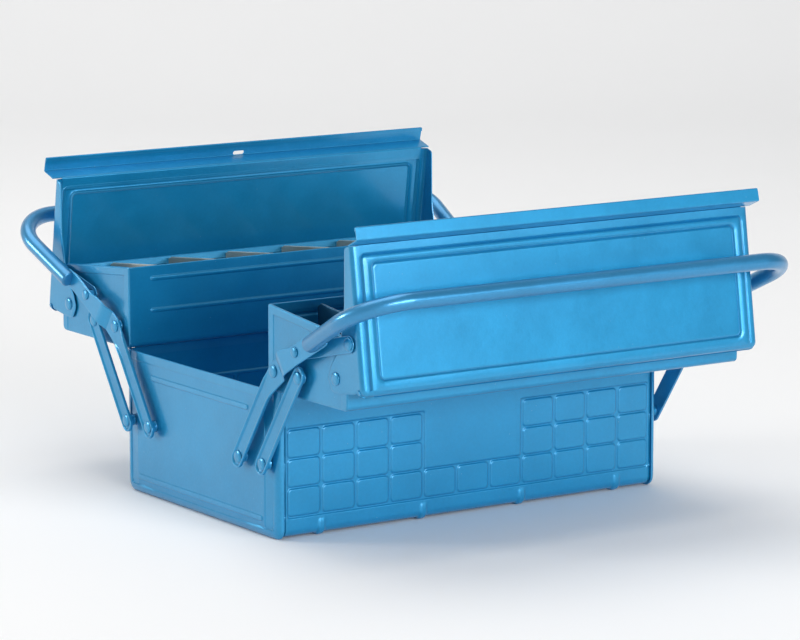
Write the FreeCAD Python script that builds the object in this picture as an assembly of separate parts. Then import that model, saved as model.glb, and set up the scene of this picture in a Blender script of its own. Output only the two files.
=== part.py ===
import FreeCAD, Part
import os
import math

# ---------------------------------------------------------------- dimensions (mm)
# Frame: +X along the length, +Y to the rear, +Z up, origin at the middle of
# the footprint on the ground.  Heights below are measured from the underside
# of the end panels and lifted by FOOT, the height of the pressed floor ribs.
FOOT = 0.8

# lower box
BOX_HX = 176.0          # half length over the end panels
BOX_HY = 110.0          # half depth
RIM_Z = 111.3           # mouth of the box
T_BOX = 0.9             # sheet of the box
R_EDGE = 6.0            # bottom bend
R_CORNER = 5.0          # vertical corner of the end panels
SEAM_X = 168.3          # where the wall steps in below the end flange
FLANGE_X = 170.2        # free edge of the end flange
WRAP_X = 171.0          # end of the body sheet
HEM_H = 7.0             # folded hem at the mouth

PAD_PITCH = 30.4        # pressed grid on the long walls
PAD_COLS = 5            # columns -5..5
GROOVE_W = 4.0
GROOVE_D = 0.9
ROW_Z = [27.0, 48.9, 70.9]
ROW_PITCH = 21.95
ROW_GROOVE = 3.0
PAD_H = 18.95
BLANK_COLS = 1          # columns -1..1 have only the bottom row

RIB_X = [-136.8, -45.6, 45.6, 136.8]
RIB_W = 8.0
RIB_HALF = 96.0

# linkage (distances from the middle plane, heights)
PIV_A0 = (66.2, 56.5)
PIV_B0 = (99.1, 56.5)
PIV_A1 = (115.6, 128.3)
PIV_B1 = (148.5, 128.3)
PIV_C = (194.0, 134.7)
PIV_P = (152.2, 148.4)
PIV_Q = (212.8, 162.3)

ARM_W = 13.5
ARM_WEB_IN = 181.0
ARM_OUT = 182.0         # outer face of the web, where the rivet heads sit
ARM_LIP = 183.2         # the lips stand outwards from the web
LIP_END = 80.0          # the handle arm's lips stop here, measured from the lower pivot
ARM_OVER = 2.25         # channel end arc centre beyond the pivot
T_ARM = 1.0
PLATE_IN = 185.8        # handle plate
PLATE_OUT = 187.0

LINK_IN = 179.3
LINK_OUT = 180.4
LINK_W = 12.5

PIN_R = 2.5
PIN_CLEAR = 0.06
HEAD_R = 4.8
HEAD_H = 1.6
PPIN_R = 2.0

# trays
TRAY_HX = 177.4
TRAY_Y0 = 101.1
TRAY_Y1 = 206.8
TRAY_Z = 112.2
TRAY_TOP = 176.5        # top of the end plate at the inner wall
TRAY_SLOPE = math.radians(5.6)
TRAY_OUT_TOP = 163.4    # outer wall
TRAY_INN_TOP = 175.6    # inner wall
T_TRAY = 0.8
DIV_X = [-135.0, -81.0, -27.0, 27.0, 81.0, 135.0]

# lids
T_LID = 0.8
LID_HX = 178.8
LID_B = (229.5, 126.2)  # outer face, bottom
LID_T = (214.14, 232.4)  # outer face, top
EAR_IN = 178.0
STRIP_HX = 181.0
STRIP_MID = (225.1, 242.6)   # middle of the strip's outer face
STRIP_TILT = math.radians(14.6)
STRIP_LOW = {1: 5.4, -1: 4.3}   # from the middle down to the step
STRIP_UP = {1: 6.1, -1: 5.4}   # from the middle to the free edge, rear and front
STRIP_DIFF = 1.0        # one strip shuts over the other
SLOT_L = 10.5
SLOT_H = 3.3
SLOT_AT = -2.6          # middle of the slot along the strip, from its middle

# handles
TUBE_R = 6.25
TUBE_WALL = 1.1
LEG0 = (187.2, 160.8, 150.4)
LEG1 = (198.2, 257.6, 197.7)
BEND_R = 38.0

os.makedirs("parts", exist_ok=True)


# ---------------------------------------------------------------- helpers
def V(x, y, z):
    return FreeCAD.Vector(x, y, z)


def round_wire(pts, rads, to3d):
    """closed wire through pts (2D) with corner radii rads, mapped by to3d"""
    n = len(pts)
    cut = []
    for i in range(n):
        p0 = pts[i - 1]
        p1 = pts[i]
        p2 = pts[(i + 1) % n]
        r = rads[i] if isinstance(rads, (list, tuple)) else rads
        if r <= 0:
            cut.append((p1, None, p1))
            continue
        ax, ay = p0[0] - p1[0], p0[1] - p1[1]
        bx, by = p2[0] - p1[0], p2[1] - p1[1]
        la, lb = math.hypot(ax, ay), math.hypot(bx, by)
        ax, ay, bx, by = ax / la, ay / la, bx / lb, by / lb
        c = max(-1.0, min(1.0, ax * bx + ay * by))
        ang = math.acos(c)
        if abs(math.pi - ang) < 1e-3:
            cut.append((p1, None, p1))
            continue
        d = r / math.tan(ang / 2)
        mx, my = ax + bx, ay + by
        ml = math.hypot(mx, my)
        mx, my = mx / ml, my / ml
        h = r / math.sin(ang / 2)
        cx, cy = p1[0] + mx * h, p1[1] + my * h
        a = (p1[0] + ax * d, p1[1] + ay * d)
        b = (p1[0] + bx * d, p1[1] + by * d)
        m = (cx - mx * r, cy - my * r)
        cut.append((a, m, b))
    edges = []
    for i in range(n):
        a, m, b = cut[i]
        if m is not None:
            edges.append(Part.Arc(to3d(a), to3d(m), to3d(b)).toShape())
        nxt = cut[(i + 1) % n][0]
        if math.hypot(nxt[0] - b[0], nxt[1] - b[1]) > 1e-4:
            edges.append(Part.makeLine(to3d(b), to3d(nxt)))
    return Part.Wire(edges)


def prism_x(pts, rads, x0, x1):
    """(y, z) outline extruded from x0 to x1"""
    w = round_wire(pts, rads, lambda p: V(x0, p[0], p[1]))
    return Part.Face(w).extrude(V(x1 - x0, 0, 0))


def prism_y(pts, rads, y0, y1):
    """(x, z) outline extruded from y0 to y1"""
    w = round_wire(pts, rads, lambda p: V(p[0], y0, p[1]))
    return Part.Face(w).extrude(V(0, y1 - y0, 0))


def prism_z(pts, rads, z0, z1):
    """(x, y) outline extruded from z0 to z1"""
    w = round_wire(pts, rads, lambda p: V(p[0], p[1], z0))
    return Part.Face(w).extrude(V(0, 0, z1 - z0))


def box(x0, x1, y0, y1, z0, z1):
    return Part.makeBox(x1 - x0, y1 - y0, z1 - z0, V(x0, y0, z0))


def rect(a0, a1, b0, b1):
    return [(a0, b0), (a1, b0), (a1, b1), (a0, b1)]


def cyl_x(yz, r, x0, x1):
    return Part.makeCylinder(r, x1 - x0, V(x0, yz[0], yz[1]), V(1, 0, 0))


def stadium(p, q, over, w):
    """outline of a straight bar with round ends; arc centres over beyond p, q"""
    dx, dy = q[0] - p[0], q[1] - p[1]
    l = math.hypot(dx, dy)
    dx, dy = dx / l, dy / l
    nx, ny = -dy, dx
    h = w / 2
    a = (p[0] - dx * (over + h), p[1] - dy * (over + h))
    b = (q[0] + dx * (over + h), q[1] + dy * (over + h))
    e = h * 0.9999
    return ([(a[0] + nx * h, a[1] + ny * h), (a[0] - nx * h, a[1] - ny * h),
             (b[0] - nx * h, b[1] - ny * h), (b[0] + nx * h, b[1] + ny * h)], e)


def head(yz, x0, r, h):
    """domed rivet head standing on the plane x0, pointing to +X"""
    n = 6
    pts = [(0.0, 0.0), (r, 0.0)]
    for i in range(1, n + 1):
        a = math.pi / 2 * i / n
        pts.append((r * math.cos(a) ** 0.75 if i < n else 0.0, h * (0.25 + 0.75 * math.sin(a))))
    pts.insert(2, (r, h * 0.25))
    edges = []
    vs = [V(x0 + b, yz[0] + a, yz[1]) for a, b in pts]
    for i in range(len(vs)):
        j = (i + 1) % len(vs)
        if (vs[j] - vs[i]).Length > 1e-5:
            edges.append(Part.makeLine(vs[i], vs[j]))
    f = Part.Face(Part.Wire(edges))
    s = f.revolve(V(0, yz[0], yz[1]), V(1, 0, 0), 360)
    return s


def one(shape):
    s = shape.removeSplitter()
    if s.ShapeType == "Compound" and len(s.Solids) == 1:
        s = s.Solids[0]
    return s


def mir(shape, side, end):
    """built at rear right; side -1 is the front, end -1 the left"""
    s = shape
    if side < 0:
        s = s.mirror(V(0, 0, 0), V(0, 1, 0))
    if end < 0:
        s = s.mirror(V(0, 0, 0), V(1, 0, 0))
    return s


done = []


def save(name, shape):
    s = shape.copy()
    s.translate(V(0, 0, FOOT))
    if not s.isValid():
        print("INVALID", name)
    s.exportStep("parts/" + name + ".step")
    bb = s.BoundBox
    done.append(name)
    print("%-28s solids %d vol %9.1f  x %7.2f %7.2f  y %7.2f %7.2f  z %7.2f %7.2f" % (
        name, len(s.Solids), s.Volume, bb.XMin, bb.XMax, bb.YMin, bb.YMax, bb.ZMin, bb.ZMax))


# ---------------------------------------------------------------- lower box
t = T_BOX
zb = t                                   # underside of the body sheet


def u_solid(x0, x1, hy, z0, th, r):
    o = prism_x([(-hy, RIM_Z), (-hy, z0), (hy, z0), (hy, RIM_Z)], [0, r, r, 0], x0, x1)
    i = prism_x([(-hy + th, RIM_Z + 1), (-hy + th, z0 + th), (hy - th, z0 + th), (hy - th, RIM_Z + 1)],
                [0, r - th, r - th, 0], x0, x1)
    return o.cut(i)


wrap = u_solid(-SEAM_X, SEAM_X, BOX_HY, zb, t, R_EDGE)
for e in (1, -1):
    a, b = sorted((e * (SEAM_X - t), e * WRAP_X))
    wrap = wrap.fuse(u_solid(a, b, BOX_HY - t, zb + t, t, R_EDGE - t))

# pressed grid: grooves sunk from outside, standing proud inside
bars = []
zc0, zc1 = ROW_Z[0] - ROW_PITCH / 2, ROW_Z[2] + ROW_PITCH / 2
edge_x = PAD_PITCH * (PAD_COLS + 0.5)
bx = PAD_PITCH * (BLANK_COLS + 0.5)
zmid = ROW_Z[0] + ROW_PITCH / 2
for k in range(-PAD_COLS, PAD_COLS + 2):
    x = PAD_PITCH * (k - 0.5)
    top = zc1 if abs(x) > bx - 1 else zmid
    bars.append((x - GROOVE_W / 2, x + GROOVE_W / 2, zc0 - ROW_GROOVE / 2, top + ROW_GROOVE / 2))
for j in range(4):
    z = zc0 + j * ROW_PITCH
    spans = [(-edge_x, edge_x)] if j < 2 else [(-edge_x, -bx), (bx, edge_x)]
    for s0, s1 in spans:
        bars.append((s0 - GROOVE_W / 2, s1 + GROOVE_W / 2, z - ROW_GROOVE / 2, z + ROW_GROOVE / 2))
lim = SEAM_X - 1.2
for s in (1, -1):
    ridges, grooves = [], []
    for (x0, x1, z0, z1) in bars:
        gx0, gx1 = max(x0, -lim), min(x1, lim)
        rx0, rx1 = max(x0 - t, -SEAM_X), min(x1 + t, SEAM_X)
        ya, yb = sorted((s * (BOX_HY - t - GROOVE_D), s * (BOX_HY - t * 0.5)))
        ridges.append(box(rx0, rx1, ya, yb, z0 - t, z1 + t))
        ya, yb = sorted((s * (BOX_HY - GROOVE_D), s * (BOX_HY + 1)))
        grooves.append(box(gx0, gx1, ya, yb, z0, z1))
    wrap = wrap.fuse(ridges)
    g = grooves[0].fuse(grooves[1:])
    wrap = wrap.cut(g)
    # hem folded in along the mouth
    ya, yb = sorted((s * (BOX_HY - 2 * t), s * (BOX_HY - t)))
    wrap = wrap.fuse(box(-SEAM_X + 2, SEAM_X - 2, ya, yb, RIM_Z - HEM_H, RIM_Z))

# floor ribs pressed downwards
for x in RIB_X:
    o = prism_z(rect(x - RIB_W / 2, x + RIB_W / 2, -RIB_HALF, RIB_HALF), 3.9, -FOOT, zb + t * 0.5)
    i = prism_z(rect(x - RIB_W / 2 + t, x + RIB_W / 2 - t, -RIB_HALF + t, RIB_HALF - t), 3.0, -FOOT + t, zb + t + 1)
    wrap = wrap.fuse(o).cut(i)
wrap = one(wrap)
save("box_wrapper", wrap)


def end_panel():
    o = prism_x([(-BOX_HY, RIM_Z), (-BOX_HY, 0), (BOX_HY, 0), (BOX_HY, RIM_Z)],
                [0, R_EDGE + t, R_EDGE + t, 0], FLANGE_X, BOX_HX)
    i = prism_x([(-BOX_HY + t, RIM_Z + 1), (-BOX_HY + t, t), (BOX_HY - t, t), (BOX_HY - t, RIM_Z + 1)],
                [0, R_EDGE, R_EDGE, 0], FLANGE_X - 1, BOX_HX - t)
    eo = [e for e in o.Edges if all(abs(v.Point.x - BOX_HX) < 1e-6 for v in e.Vertexes)
          and not all(abs(v.Point.z - RIM_Z) < 1e-6 for v in e.Vertexes)]
    o = o.makeFillet(R_CORNER, eo)
    ei = [e for e in i.Edges if all(abs(v.Point.x - BOX_HX + t) < 1e-6 for v in e.Vertexes)
          and not all(abs(v.Point.z - RIM_Z - 1) < 1e-6 for v in e.Vertexes)]
    i = i.makeFillet(R_CORNER - t, ei)
    p = o.cut(i)
    # two pairs of long horizontal beads, pushed outwards
    for z, hw, hy in ((96.2, 1.3, 72.0), (91.6, 1.3, 72.0), (15.6, 1.3, 92.0), (11.4, 1.3, 92.0)):
        p = p.fuse(prism_x(rect(-hy, hy, z - hw, z + hw), hw * 0.98, BOX_HX - t * 0.5, BOX_HX + 0.5))
    # hem folded in along the mouth
    p = p.fuse(box(BOX_HX - 2 * t, BOX_HX - t, -BOX_HY + 7, BOX_HY - 7, RIM_Z - HEM_H, RIM_Z))
    # holes for the pivot rivets
    for yz in (PIV_A0, PIV_B0):
        for s in (1, -1):
            p = p.cut(cyl_x((s * yz[0], yz[1]), PIN_R + 0.02, BOX_HX - 4, BOX_HX + 4))
    return one(p)


ep = end_panel()
save("box_end_right", ep)
save("box_end_left", mir(ep, 1, -1))

# spacer bosses and rivets of the lower pivots
sp, rv = [], []
for yz in (PIV_A0, PIV_B0):
    s = cyl_x(yz, 4.6, BOX_HX + 0.02, ARM_WEB_IN - 0.1).cut(cyl_x(yz, PIN_R + 0.02, BOX_HX - 1, ARM_OUT))
    r = cyl_x(yz, PIN_R, BOX_HX - t - 0.05, ARM_OUT + 0.3)
    r = r.fuse(cyl_x(yz, HEAD_R - 0.8, BOX_HX - t - 0.05 - 1.2, BOX_HX - t - 0.05))
    r = r.fuse(head(yz, ARM_OUT + 0.1, HEAD_R, HEAD_H))
    for side in (1, -1):
        for end in (1, -1):
            sp.append(mir(s, side, end))
            rv.append(mir(one(r), side, end))
save("box_pivot_spacers", Part.makeCompound(sp))
save("box_pivot_rivets", Part.makeCompound(rv))

# ---------------------------------------------------------------- arms


def channel(p, q, hole_p, hole_q):
    """shallow pressed channel with round ends, web towards the box, lips outwards"""
    pts, e = stadium(p, q, ARM_OVER, ARM_W)
    o = prism_x(pts, e, ARM_WEB_IN, ARM_LIP)
    pi, ei = stadium(p, q, ARM_OVER, ARM_W - 2 * T_ARM)
    i = prism_x(pi, ei, ARM_OUT, ARM_LIP + 1)
    s = o.cut(i)
    for yz, r in ((p, hole_p), (q, hole_q)):
        s = s.cut(cyl_x(yz, r, ARM_WEB_IN - 2, ARM_OUT + 2))
    return s


HOLE = PIN_R + PIN_CLEAR
support = one(channel(PIV_B0, PIV_B1, HOLE, HOLE))

# handle arm: channel up to the tray pivot, then a wide plate joggled outwards
pts, e = stadium(PIV_A0, PIV_A1, ARM_OVER, ARM_W)
lower = prism_x(pts, e, ARM_WEB_IN, ARM_LIP)
pi, ei = stadium(PIV_A0, PIV_A1, ARM_OVER, ARM_W - 2 * T_ARM)
lower = lower.cut(prism_x(pi, ei, ARM_OUT, ARM_LIP + 1))
adx, adz = PIV_A1[0] - PIV_A0[0], PIV_A1[1] - PIV_A0[1]
al = math.hypot(adx, adz)
adx, adz = adx / al, adz / al
c0 = (PIV_A0[0] + adx * LIP_END, PIV_A0[1] + adz * LIP_END)
lip_cut = [(c0[0] + adz * 20, c0[1] - adx * 20), (c0[0] + adz * 20 + adx * 40, c0[1] - adx * 20 + adz * 40),
           (c0[0] - adz * 20 + adx * 40, c0[1] + adx * 20 + adz * 40), (c0[0] - adz * 20, c0[1] + adx * 20)]
lower = lower.cut(prism_x(lip_cut, 0, ARM_OUT, ARM_LIP + 1))
outline = [(191.5, 165.6), (177.8, 165.5), (169.5, 163.1), (158.6, 158.1), (144.9, 150.6), (137.5, 149.2), (128.5, 146.0),
           (119.0, 138.6), (108.2, 128.6), (103.6, 112.4), (114.5, 108.2), (118.4, 114.6), (130.0, 123.4),
           (139.0, 130.4), (153.0, 138.4), (164.0, 144.0), (190.0, 157.3), (194.5, 160.2)]
rads = [1.5, 5, 8, 14, 10, 6, 6, 8, 5, 5, 4, 4, 10, 8, 10, 6, 4, 1.5]
# section across the joggle: distance s along the plate from the tray pivot
ja = math.radians(34.0)
sx, sz = math.cos(ja), math.sin(ja)


def from_s(s_, x_):
    return V(x_, PIV_A1[0] + s_ * sx, PIV_A1[1] + s_ * sz)


prof = [(-40, ARM_WEB_IN), (9.5, ARM_WEB_IN), (18.5, PLATE_IN), (110, PLATE_IN),
        (110, PLATE_OUT), (18.0, PLATE_OUT), (9.0, ARM_OUT), (-40, ARM_OUT)]
fw = Part.Wire([Part.makeLine(from_s(*prof[i]), from_s(*prof[(i + 1) % len(prof)])) for i in range(len(prof))])
nrm = V(0, -sz, sx)
sheet = Part.Face(fw).extrude(nrm * 160)
sheet.translate(nrm * -80)
plate = prism_x(outline, rads, ARM_WEB_IN - 1, PLATE_OUT + 2).common(sheet)
arm = lower.fuse(plate)
for yz, r in ((PIV_A0, HOLE), (PIV_A1, HOLE)):
    arm = arm.cut(cyl_x(yz, r, ARM_WEB_IN - 2, PLATE_OUT + 3))
arm = arm.cut(cyl_x(PIV_P, PPIN_R + 0.02, ARM_WEB_IN - 2, PLATE_OUT + 3))
arm = one(arm)

# ---------------------------------------------------------------- handle tube


def bent_bar(ps, rb, r):
    """round bar along a polyline with bends of radius rb"""
    parts_ = []
    last = ps[0]
    for i in range(1, len(ps) - 1):
        a = (ps[i - 1] - ps[i]).normalize()
        b = (ps[i + 1] - ps[i]).normalize()
        ang = a.getAngle(b)
        d_ = rb / math.tan(ang / 2)
        m = (a + b).normalize()
        c = ps[i] + m * (rb / math.sin(ang / 2))
        p0, p1 = ps[i] + a * d_, ps[i] + b * d_
        parts_.append(Part.makeCylinder(r, (p0 - last).Length, last, p0 - last))
        ax = (p0 - c).cross(p1 - c).normalize()
        circ = Part.Face(Part.Wire([Part.makeCircle(r, p0, a)]))
        parts_.append(circ.revolve(c, ax, 180 - math.degrees(ang)))
        last = p1
    parts_.append(Part.makeCylinder(r, (ps[-1] - last).Length, last, ps[-1] - last))
    return parts_


l0, l1 = V(*LEG0), V(*LEG1)
d = (l1 - l0).normalize()
start = l0 + d * 17.0


def pipe(r, shorten):
    a = start + d * shorten
    return bent_bar([a, l1, V(-l1.x, l1.y, l1.z), V(-a.x, a.y, a.z)], BEND_R, r)


def dome(p, axis, r, h):
    """low domed end on a round bar"""
    n = 7
    vs = [V(0, 0, 0)]
    for i in range(n + 1):
        a = math.pi / 2 * i / n
        vs.append(V(r * math.cos(a), 0, h * math.sin(a)) if i < n else V(0, 0, h))
    w = Part.makePolygon(vs + [vs[0]])
    s_ = Part.Face(w).revolve(V(0, 0, 0), V(0, 0, 1), 360)
    s_.Placement = FreeCAD.Placement(p, FreeCAD.Rotation(V(0, 0, 1), axis))
    return s_


po, pi_ = pipe(TUBE_R, 0.0), pipe(TUBE_R - TUBE_WALL, 1.5)
outer = po[0].fuse(po[1:])
inner = pi_[0].fuse(pi_[1:])
caps = []
for e in (1, -1):
    caps.append(dome(V(e * start.x, start.y, start.z), V(-e * d.x, -d.y, -d.z), TUBE_R, 1.8))
tube = outer.fuse(caps).cut(inner)
for e in (1, -1):
    cutp = prism_x(outline, rads, PLATE_IN, PLATE_OUT)
    if e < 0:
        cutp = cutp.mirror(V(0, 0, 0), V(1, 0, 0))
    tube = tube.cut(cutp)
    # flat on the inner side, where the lid link passes
    b = box(178.0, 180.9, 100, 190, 100, 260)
    if e < 0:
        b = b.mirror(V(0, 0, 0), V(1, 0, 0))
    tube = tube.cut(b)
tube = one(tube)

# ---------------------------------------------------------------- tray


def end_top(y):
    return TRAY_TOP - (y - TRAY_Y0) * math.tan(TRAY_SLOPE)


def tray_parts():
    tt = T_TRAY
    ix = TRAY_HX - tt - 0.02
    o = prism_x([(TRAY_Y0, TRAY_INN_TOP), (TRAY_Y0, TRAY_Z), (TRAY_Y1, TRAY_Z), (TRAY_Y1, TRAY_OUT_TOP),
                 (TRAY_Y1 - tt, TRAY_OUT_TOP), (TRAY_Y1 - tt, TRAY_Z + tt), (TRAY_Y0 + tt, TRAY_Z + tt),
                 (TRAY_Y0 + tt, TRAY_INN_TOP)], [0, 4, 4, 0, 0, 4 - tt, 4 - tt, 0], -ix, ix)
    # hems folded inwards along both long edges
    o = o.fuse(box(-ix + 1, ix - 1, TRAY_Y0 + tt, TRAY_Y0 + 2 * tt, TRAY_INN_TOP - 6, TRAY_INN_TOP))
    o = o.fuse(box(-ix + 1, ix - 1, TRAY_Y1 - 2 * tt, TRAY_Y1 - tt, TRAY_OUT_TOP - 6, TRAY_OUT_TOP))
    # two long beads on the wall that faces the middle
    for z in (165.5, 140.5):
        o = o.fuse(prism_y(rect(-158, 158, z - 1.6, z + 1.6), 1.58, TRAY_Y0 - 0.7, TRAY_Y0 + tt * 0.5))
        o = o.cut(prism_y(rect(-157.2, 157.2, z - 0.8, z + 0.8), 0.78, TRAY_Y0 - 0.7 + tt, TRAY_Y0 + tt + 0.01))
    shell = one(o)
    # end plate with an inward hem along the sloping top edge
    ra = 32.4
    pts_ = [(TRAY_Y0, TRAY_Z), (TRAY_Y1, TRAY_Z), (TRAY_Y1, end_top(TRAY_Y1)), (TRAY_Y0, TRAY_TOP)]
    pl = prism_x(pts_, [4, 4, 10.5, 2.0], TRAY_HX - tt, TRAY_HX)
    for yz in (PIV_A1, PIV_B1, PIV_C):
        pl = pl.cut(cyl_x(yz, PIN_R + 0.02, TRAY_HX - 5, TRAY_HX + 5))
    plate_ = one(pl)
    divs = []
    for x in DIV_X:
        pts_ = [(TRAY_Y0 + 2 * tt + 0.05, TRAY_Z + tt + 0.02), (TRAY_Y1 - 2 * tt - 0.05, TRAY_Z + tt + 0.02),
                (TRAY_Y1 - 2 * tt - 0.05, TRAY_OUT_TOP - 0.2), (TRAY_Y0 + 2 * tt + 0.05, TRAY_INN_TOP - 2.0)]
        divs.append(prism_x(pts_, [3.6, 3.6, 1.5, 3], x - 0.4, x + 0.4))
    sps, rvs = [], []
    for yz in (PIV_A1, PIV_B1):
        s = cyl_x(yz, 4.6, TRAY_HX + 0.02, ARM_WEB_IN - 0.1).cut(cyl_x(yz, PIN_R + 0.02, TRAY_HX - 1, ARM_OUT))
        r = cyl_x(yz, PIN_R, TRAY_HX - tt - 0.05, ARM_OUT + 0.3)
        r = r.fuse(cyl_x(yz, HEAD_R - 0.8, TRAY_HX - tt - 0.05 - 1.0, TRAY_HX - tt - 0.05))
        r = r.fuse(head(yz, ARM_OUT + 0.1, HEAD_R, HEAD_H))
        sps.append(s)
        rvs.append(one(r))
    yz = PIV_C
    s = cyl_x(yz, 6.0, TRAY_HX + 0.02, EAR_IN - 0.08).cut(cyl_x(yz, PIN_R + 0.02, TRAY_HX - 1, ARM_OUT))
    r = cyl_x(yz, PIN_R, TRAY_HX - tt - 0.05, LID_HX + 0.3)
    r = r.fuse(cyl_x(yz, HEAD_R - 0.8, TRAY_HX - tt - 0.05 - 1.0, TRAY_HX - tt - 0.05))
    r = r.fuse(head(yz, LID_HX + 0.1, HEAD_R + 0.3, HEAD_H))
    sps.append(s)
    rvs.append(one(r))
    return shell, plate_, divs, sps, rvs


shell, tend, divs, sps, rvs = tray_parts()

# ---------------------------------------------------------------- lid
lb, lt = V(0, LID_B[0], LID_B[1]), V(0, LID_T[0], LID_T[1])
ld = (lt - lb).normalize()
ln = V(0, ld.z, -ld.y)                   # outward normal of the panel
LL = (lt - lb).Length


def lp(u, w):
    """point in the lid section: u up along the outer face, w outwards"""
    p = lb + ld * u + ln * w
    return (p.y, p.z)


def lid_panel():
    tt = T_LID
    pan = prism_x([lp(0, 0), lp(LL, 0), lp(LL, -tt), lp(0, -tt)], 0, -LID_HX + 1.5, LID_HX - 1.5)
    # side flange and ear
    ear_pts = [lp(0.0, 0.0), lp(LL - 0.5, 0.0), (204.9, 230.5), (204.6, 187.0), (198.5, 158.0), (187.0, 143.5),
               (183.2, 133.5), (188.6, 124.2), (198.0, 124.0), (221.5, 126.4)]
    ear_r = [2.5, 0.5, 6, 30, 18, 10, 6.0, 5.5, 10, 8]
    side = prism_x(ear_pts, ear_r, EAR_IN, LID_HX)
    # the round bends from panel to flange
    bend = []
    for e in (1, -1):
        c = prism_x([lp(0.6, 0), lp(LL - 0.8, 0), lp(LL - 0.8, -2.3), lp(0.6, -2.3)], 0,
                    *sorted((e * (LID_HX - 2.3), e * LID_HX)))
        q = c.copy()
        p0, p1 = lp(-1, -2.3), lp(LL + 1, -2.3)
        cy = Part.makeCylinder(2.3, LL + 4, V(e * (LID_HX - 2.3), p0[0], p0[1]) - ld * 1, ld)
        ci = Part.makeCylinder(2.3 - tt, LL + 4, V(e * (LID_HX - 2.3), p0[0], p0[1]) - ld * 1, ld)
        bend.append(c.common(cy).cut(ci))
    s = pan.fuse([side, side.mirror(V(0, 0, 0), V(1, 0, 0))] + bend)
    for e in (1, -1):
        # trim what stands outside the round bend
        c = prism_x([lp(-3, 0.5), lp(LL + 3, 0.5), lp(LL + 3, -2.3), lp(-3, -2.3)], 0,
                    *sorted((e * (LID_HX - 2.3), e * (LID_HX + 1))))
        p0 = lp(-5, -2.3)
        cy = Part.makeCylinder(2.3, LL + 10, V(e * (LID_HX - 2.3), p0[0], p0[1]), ld)
        s = s.cut(c.cut(cy))
    # raised field on the outside, hollow inside
    f0, f1, fx = 12.0, LL - 9.0, 163.0
    o = lid_pad(f0, f1, fx, 6.0, -tt * 0.5, 0.9)
    i = lid_pad(f0 + tt, f1 - tt, fx - tt, 5.2, -tt - 1.0, 0.9 - tt)
    s = s.fuse(o).cut(i)
    # inward hem along the bottom edge
    s = s.fuse(prism_x([lp(0.0, -tt * 0.5), lp(6.0, -tt * 0.5), lp(6.0, -2 * tt), lp(0.0, -2 * tt)], 0,
                       -LID_HX + 4, LID_HX - 4))
    for e in (1, -1):
        a, b = sorted((e * (EAR_IN - 3), e * (LID_HX + 3)))
        s = s.cut(cyl_x(PIV_C, HOLE, a, b))
        s = s.cut(cyl_x(PIV_Q, PIN_R + 0.02, a, b))
    return one(s)


def lid_pad(u0, u1, hx, r, w0, w1):
    def m(p):
        yz = lp(p[1], w0)
        return V(p[0], yz[0], yz[1])
    w = round_wire(rect(-hx, hx, u0, u1), r, m)
    return Part.Face(w).extrude(ln * (w1 - w0))


def strip(side):
    """stepped strip along the free edge; the rear one shuts over the front one"""
    tt = T_LID
    c, sn = math.cos(STRIP_TILT), math.sin(STRIP_TILT)
    my = STRIP_MID[0] + c * STRIP_DIFF * side
    mz = STRIP_MID[1] + sn * STRIP_DIFF * side

    def sp_(u, w):
        return (my - sn * u + c * w, mz + c * u + sn * w)

    up, low = STRIP_UP[side], STRIP_LOW[side]
    lap = prism_x([lp(LL - 9.0, -2 * tt), lp(LL + 1.2, -2 * tt), lp(LL + 1.2, -tt - 0.01), lp(LL - 9.0, -tt - 0.01)],
                  0, -LID_HX + 8, LID_HX - 8)
    q3 = lp(LL + 0.05, -tt * 0.2)
    pts_ = [lp(LL + 0.25, -2 * tt), sp_(-low, -tt), sp_(up, -tt), sp_(up, 0), sp_(-low - 0.45, 0),
            (q3[0] + 0.5, q3[1] + 0.45), lp(LL + 0.35, -tt - 0.01)]
    step = prism_x(pts_, [0, 1.2, 0.3, 0.3, 1.8, 0, 0], -STRIP_HX, STRIP_HX)
    # safe edge folded back along the top
    hem = prism_x([sp_(up, -2 * tt), sp_(up, -tt * 0.5), sp_(up - 3.2, -tt * 0.5), sp_(up - 3.2, -2 * tt)],
                  [0.6, 0, 0, 0.3], -STRIP_HX + 0.6, STRIP_HX - 0.6)
    s = lap.fuse([step, hem])
    ds, ns = V(0, -sn, c), V(0, c, sn)
    for e in (1, -1):
        # rounded corners of the strip
        y0, z0 = sp_(up - 1.2, -3)
        k = Part.makeCylinder(1.2, 8, V(e * (STRIP_HX - 1.2), y0, z0), ns)
        f = Part.Face(Part.makePolygon([V(e * (STRIP_HX - 1.2), y0, z0), V(e * (STRIP_HX + 1), y0, z0),
                                        V(e * (STRIP_HX + 1), y0, z0) + ds * 5, V(e * (STRIP_HX - 1.2), y0, z0) + ds * 5,
                                        V(e * (STRIP_HX - 1.2), y0, z0)]))
        s = s.cut(f.extrude(ns * 8).cut(k))
    if side > 0:
        y0, z0 = sp_(SLOT_AT, -3)

        def m(p):
            return V(p[0], y0, z0) + ds * p[1]
        w = round_wire(rect(-SLOT_L / 2, SLOT_L / 2, -SLOT_H / 2, SLOT_H / 2), SLOT_H * 0.49, m)
        s = s.cut(Part.Face(w).extrude(ns * 8))
    return one(s)


lid = lid_panel()

# ---------------------------------------------------------------- lid link


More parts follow.
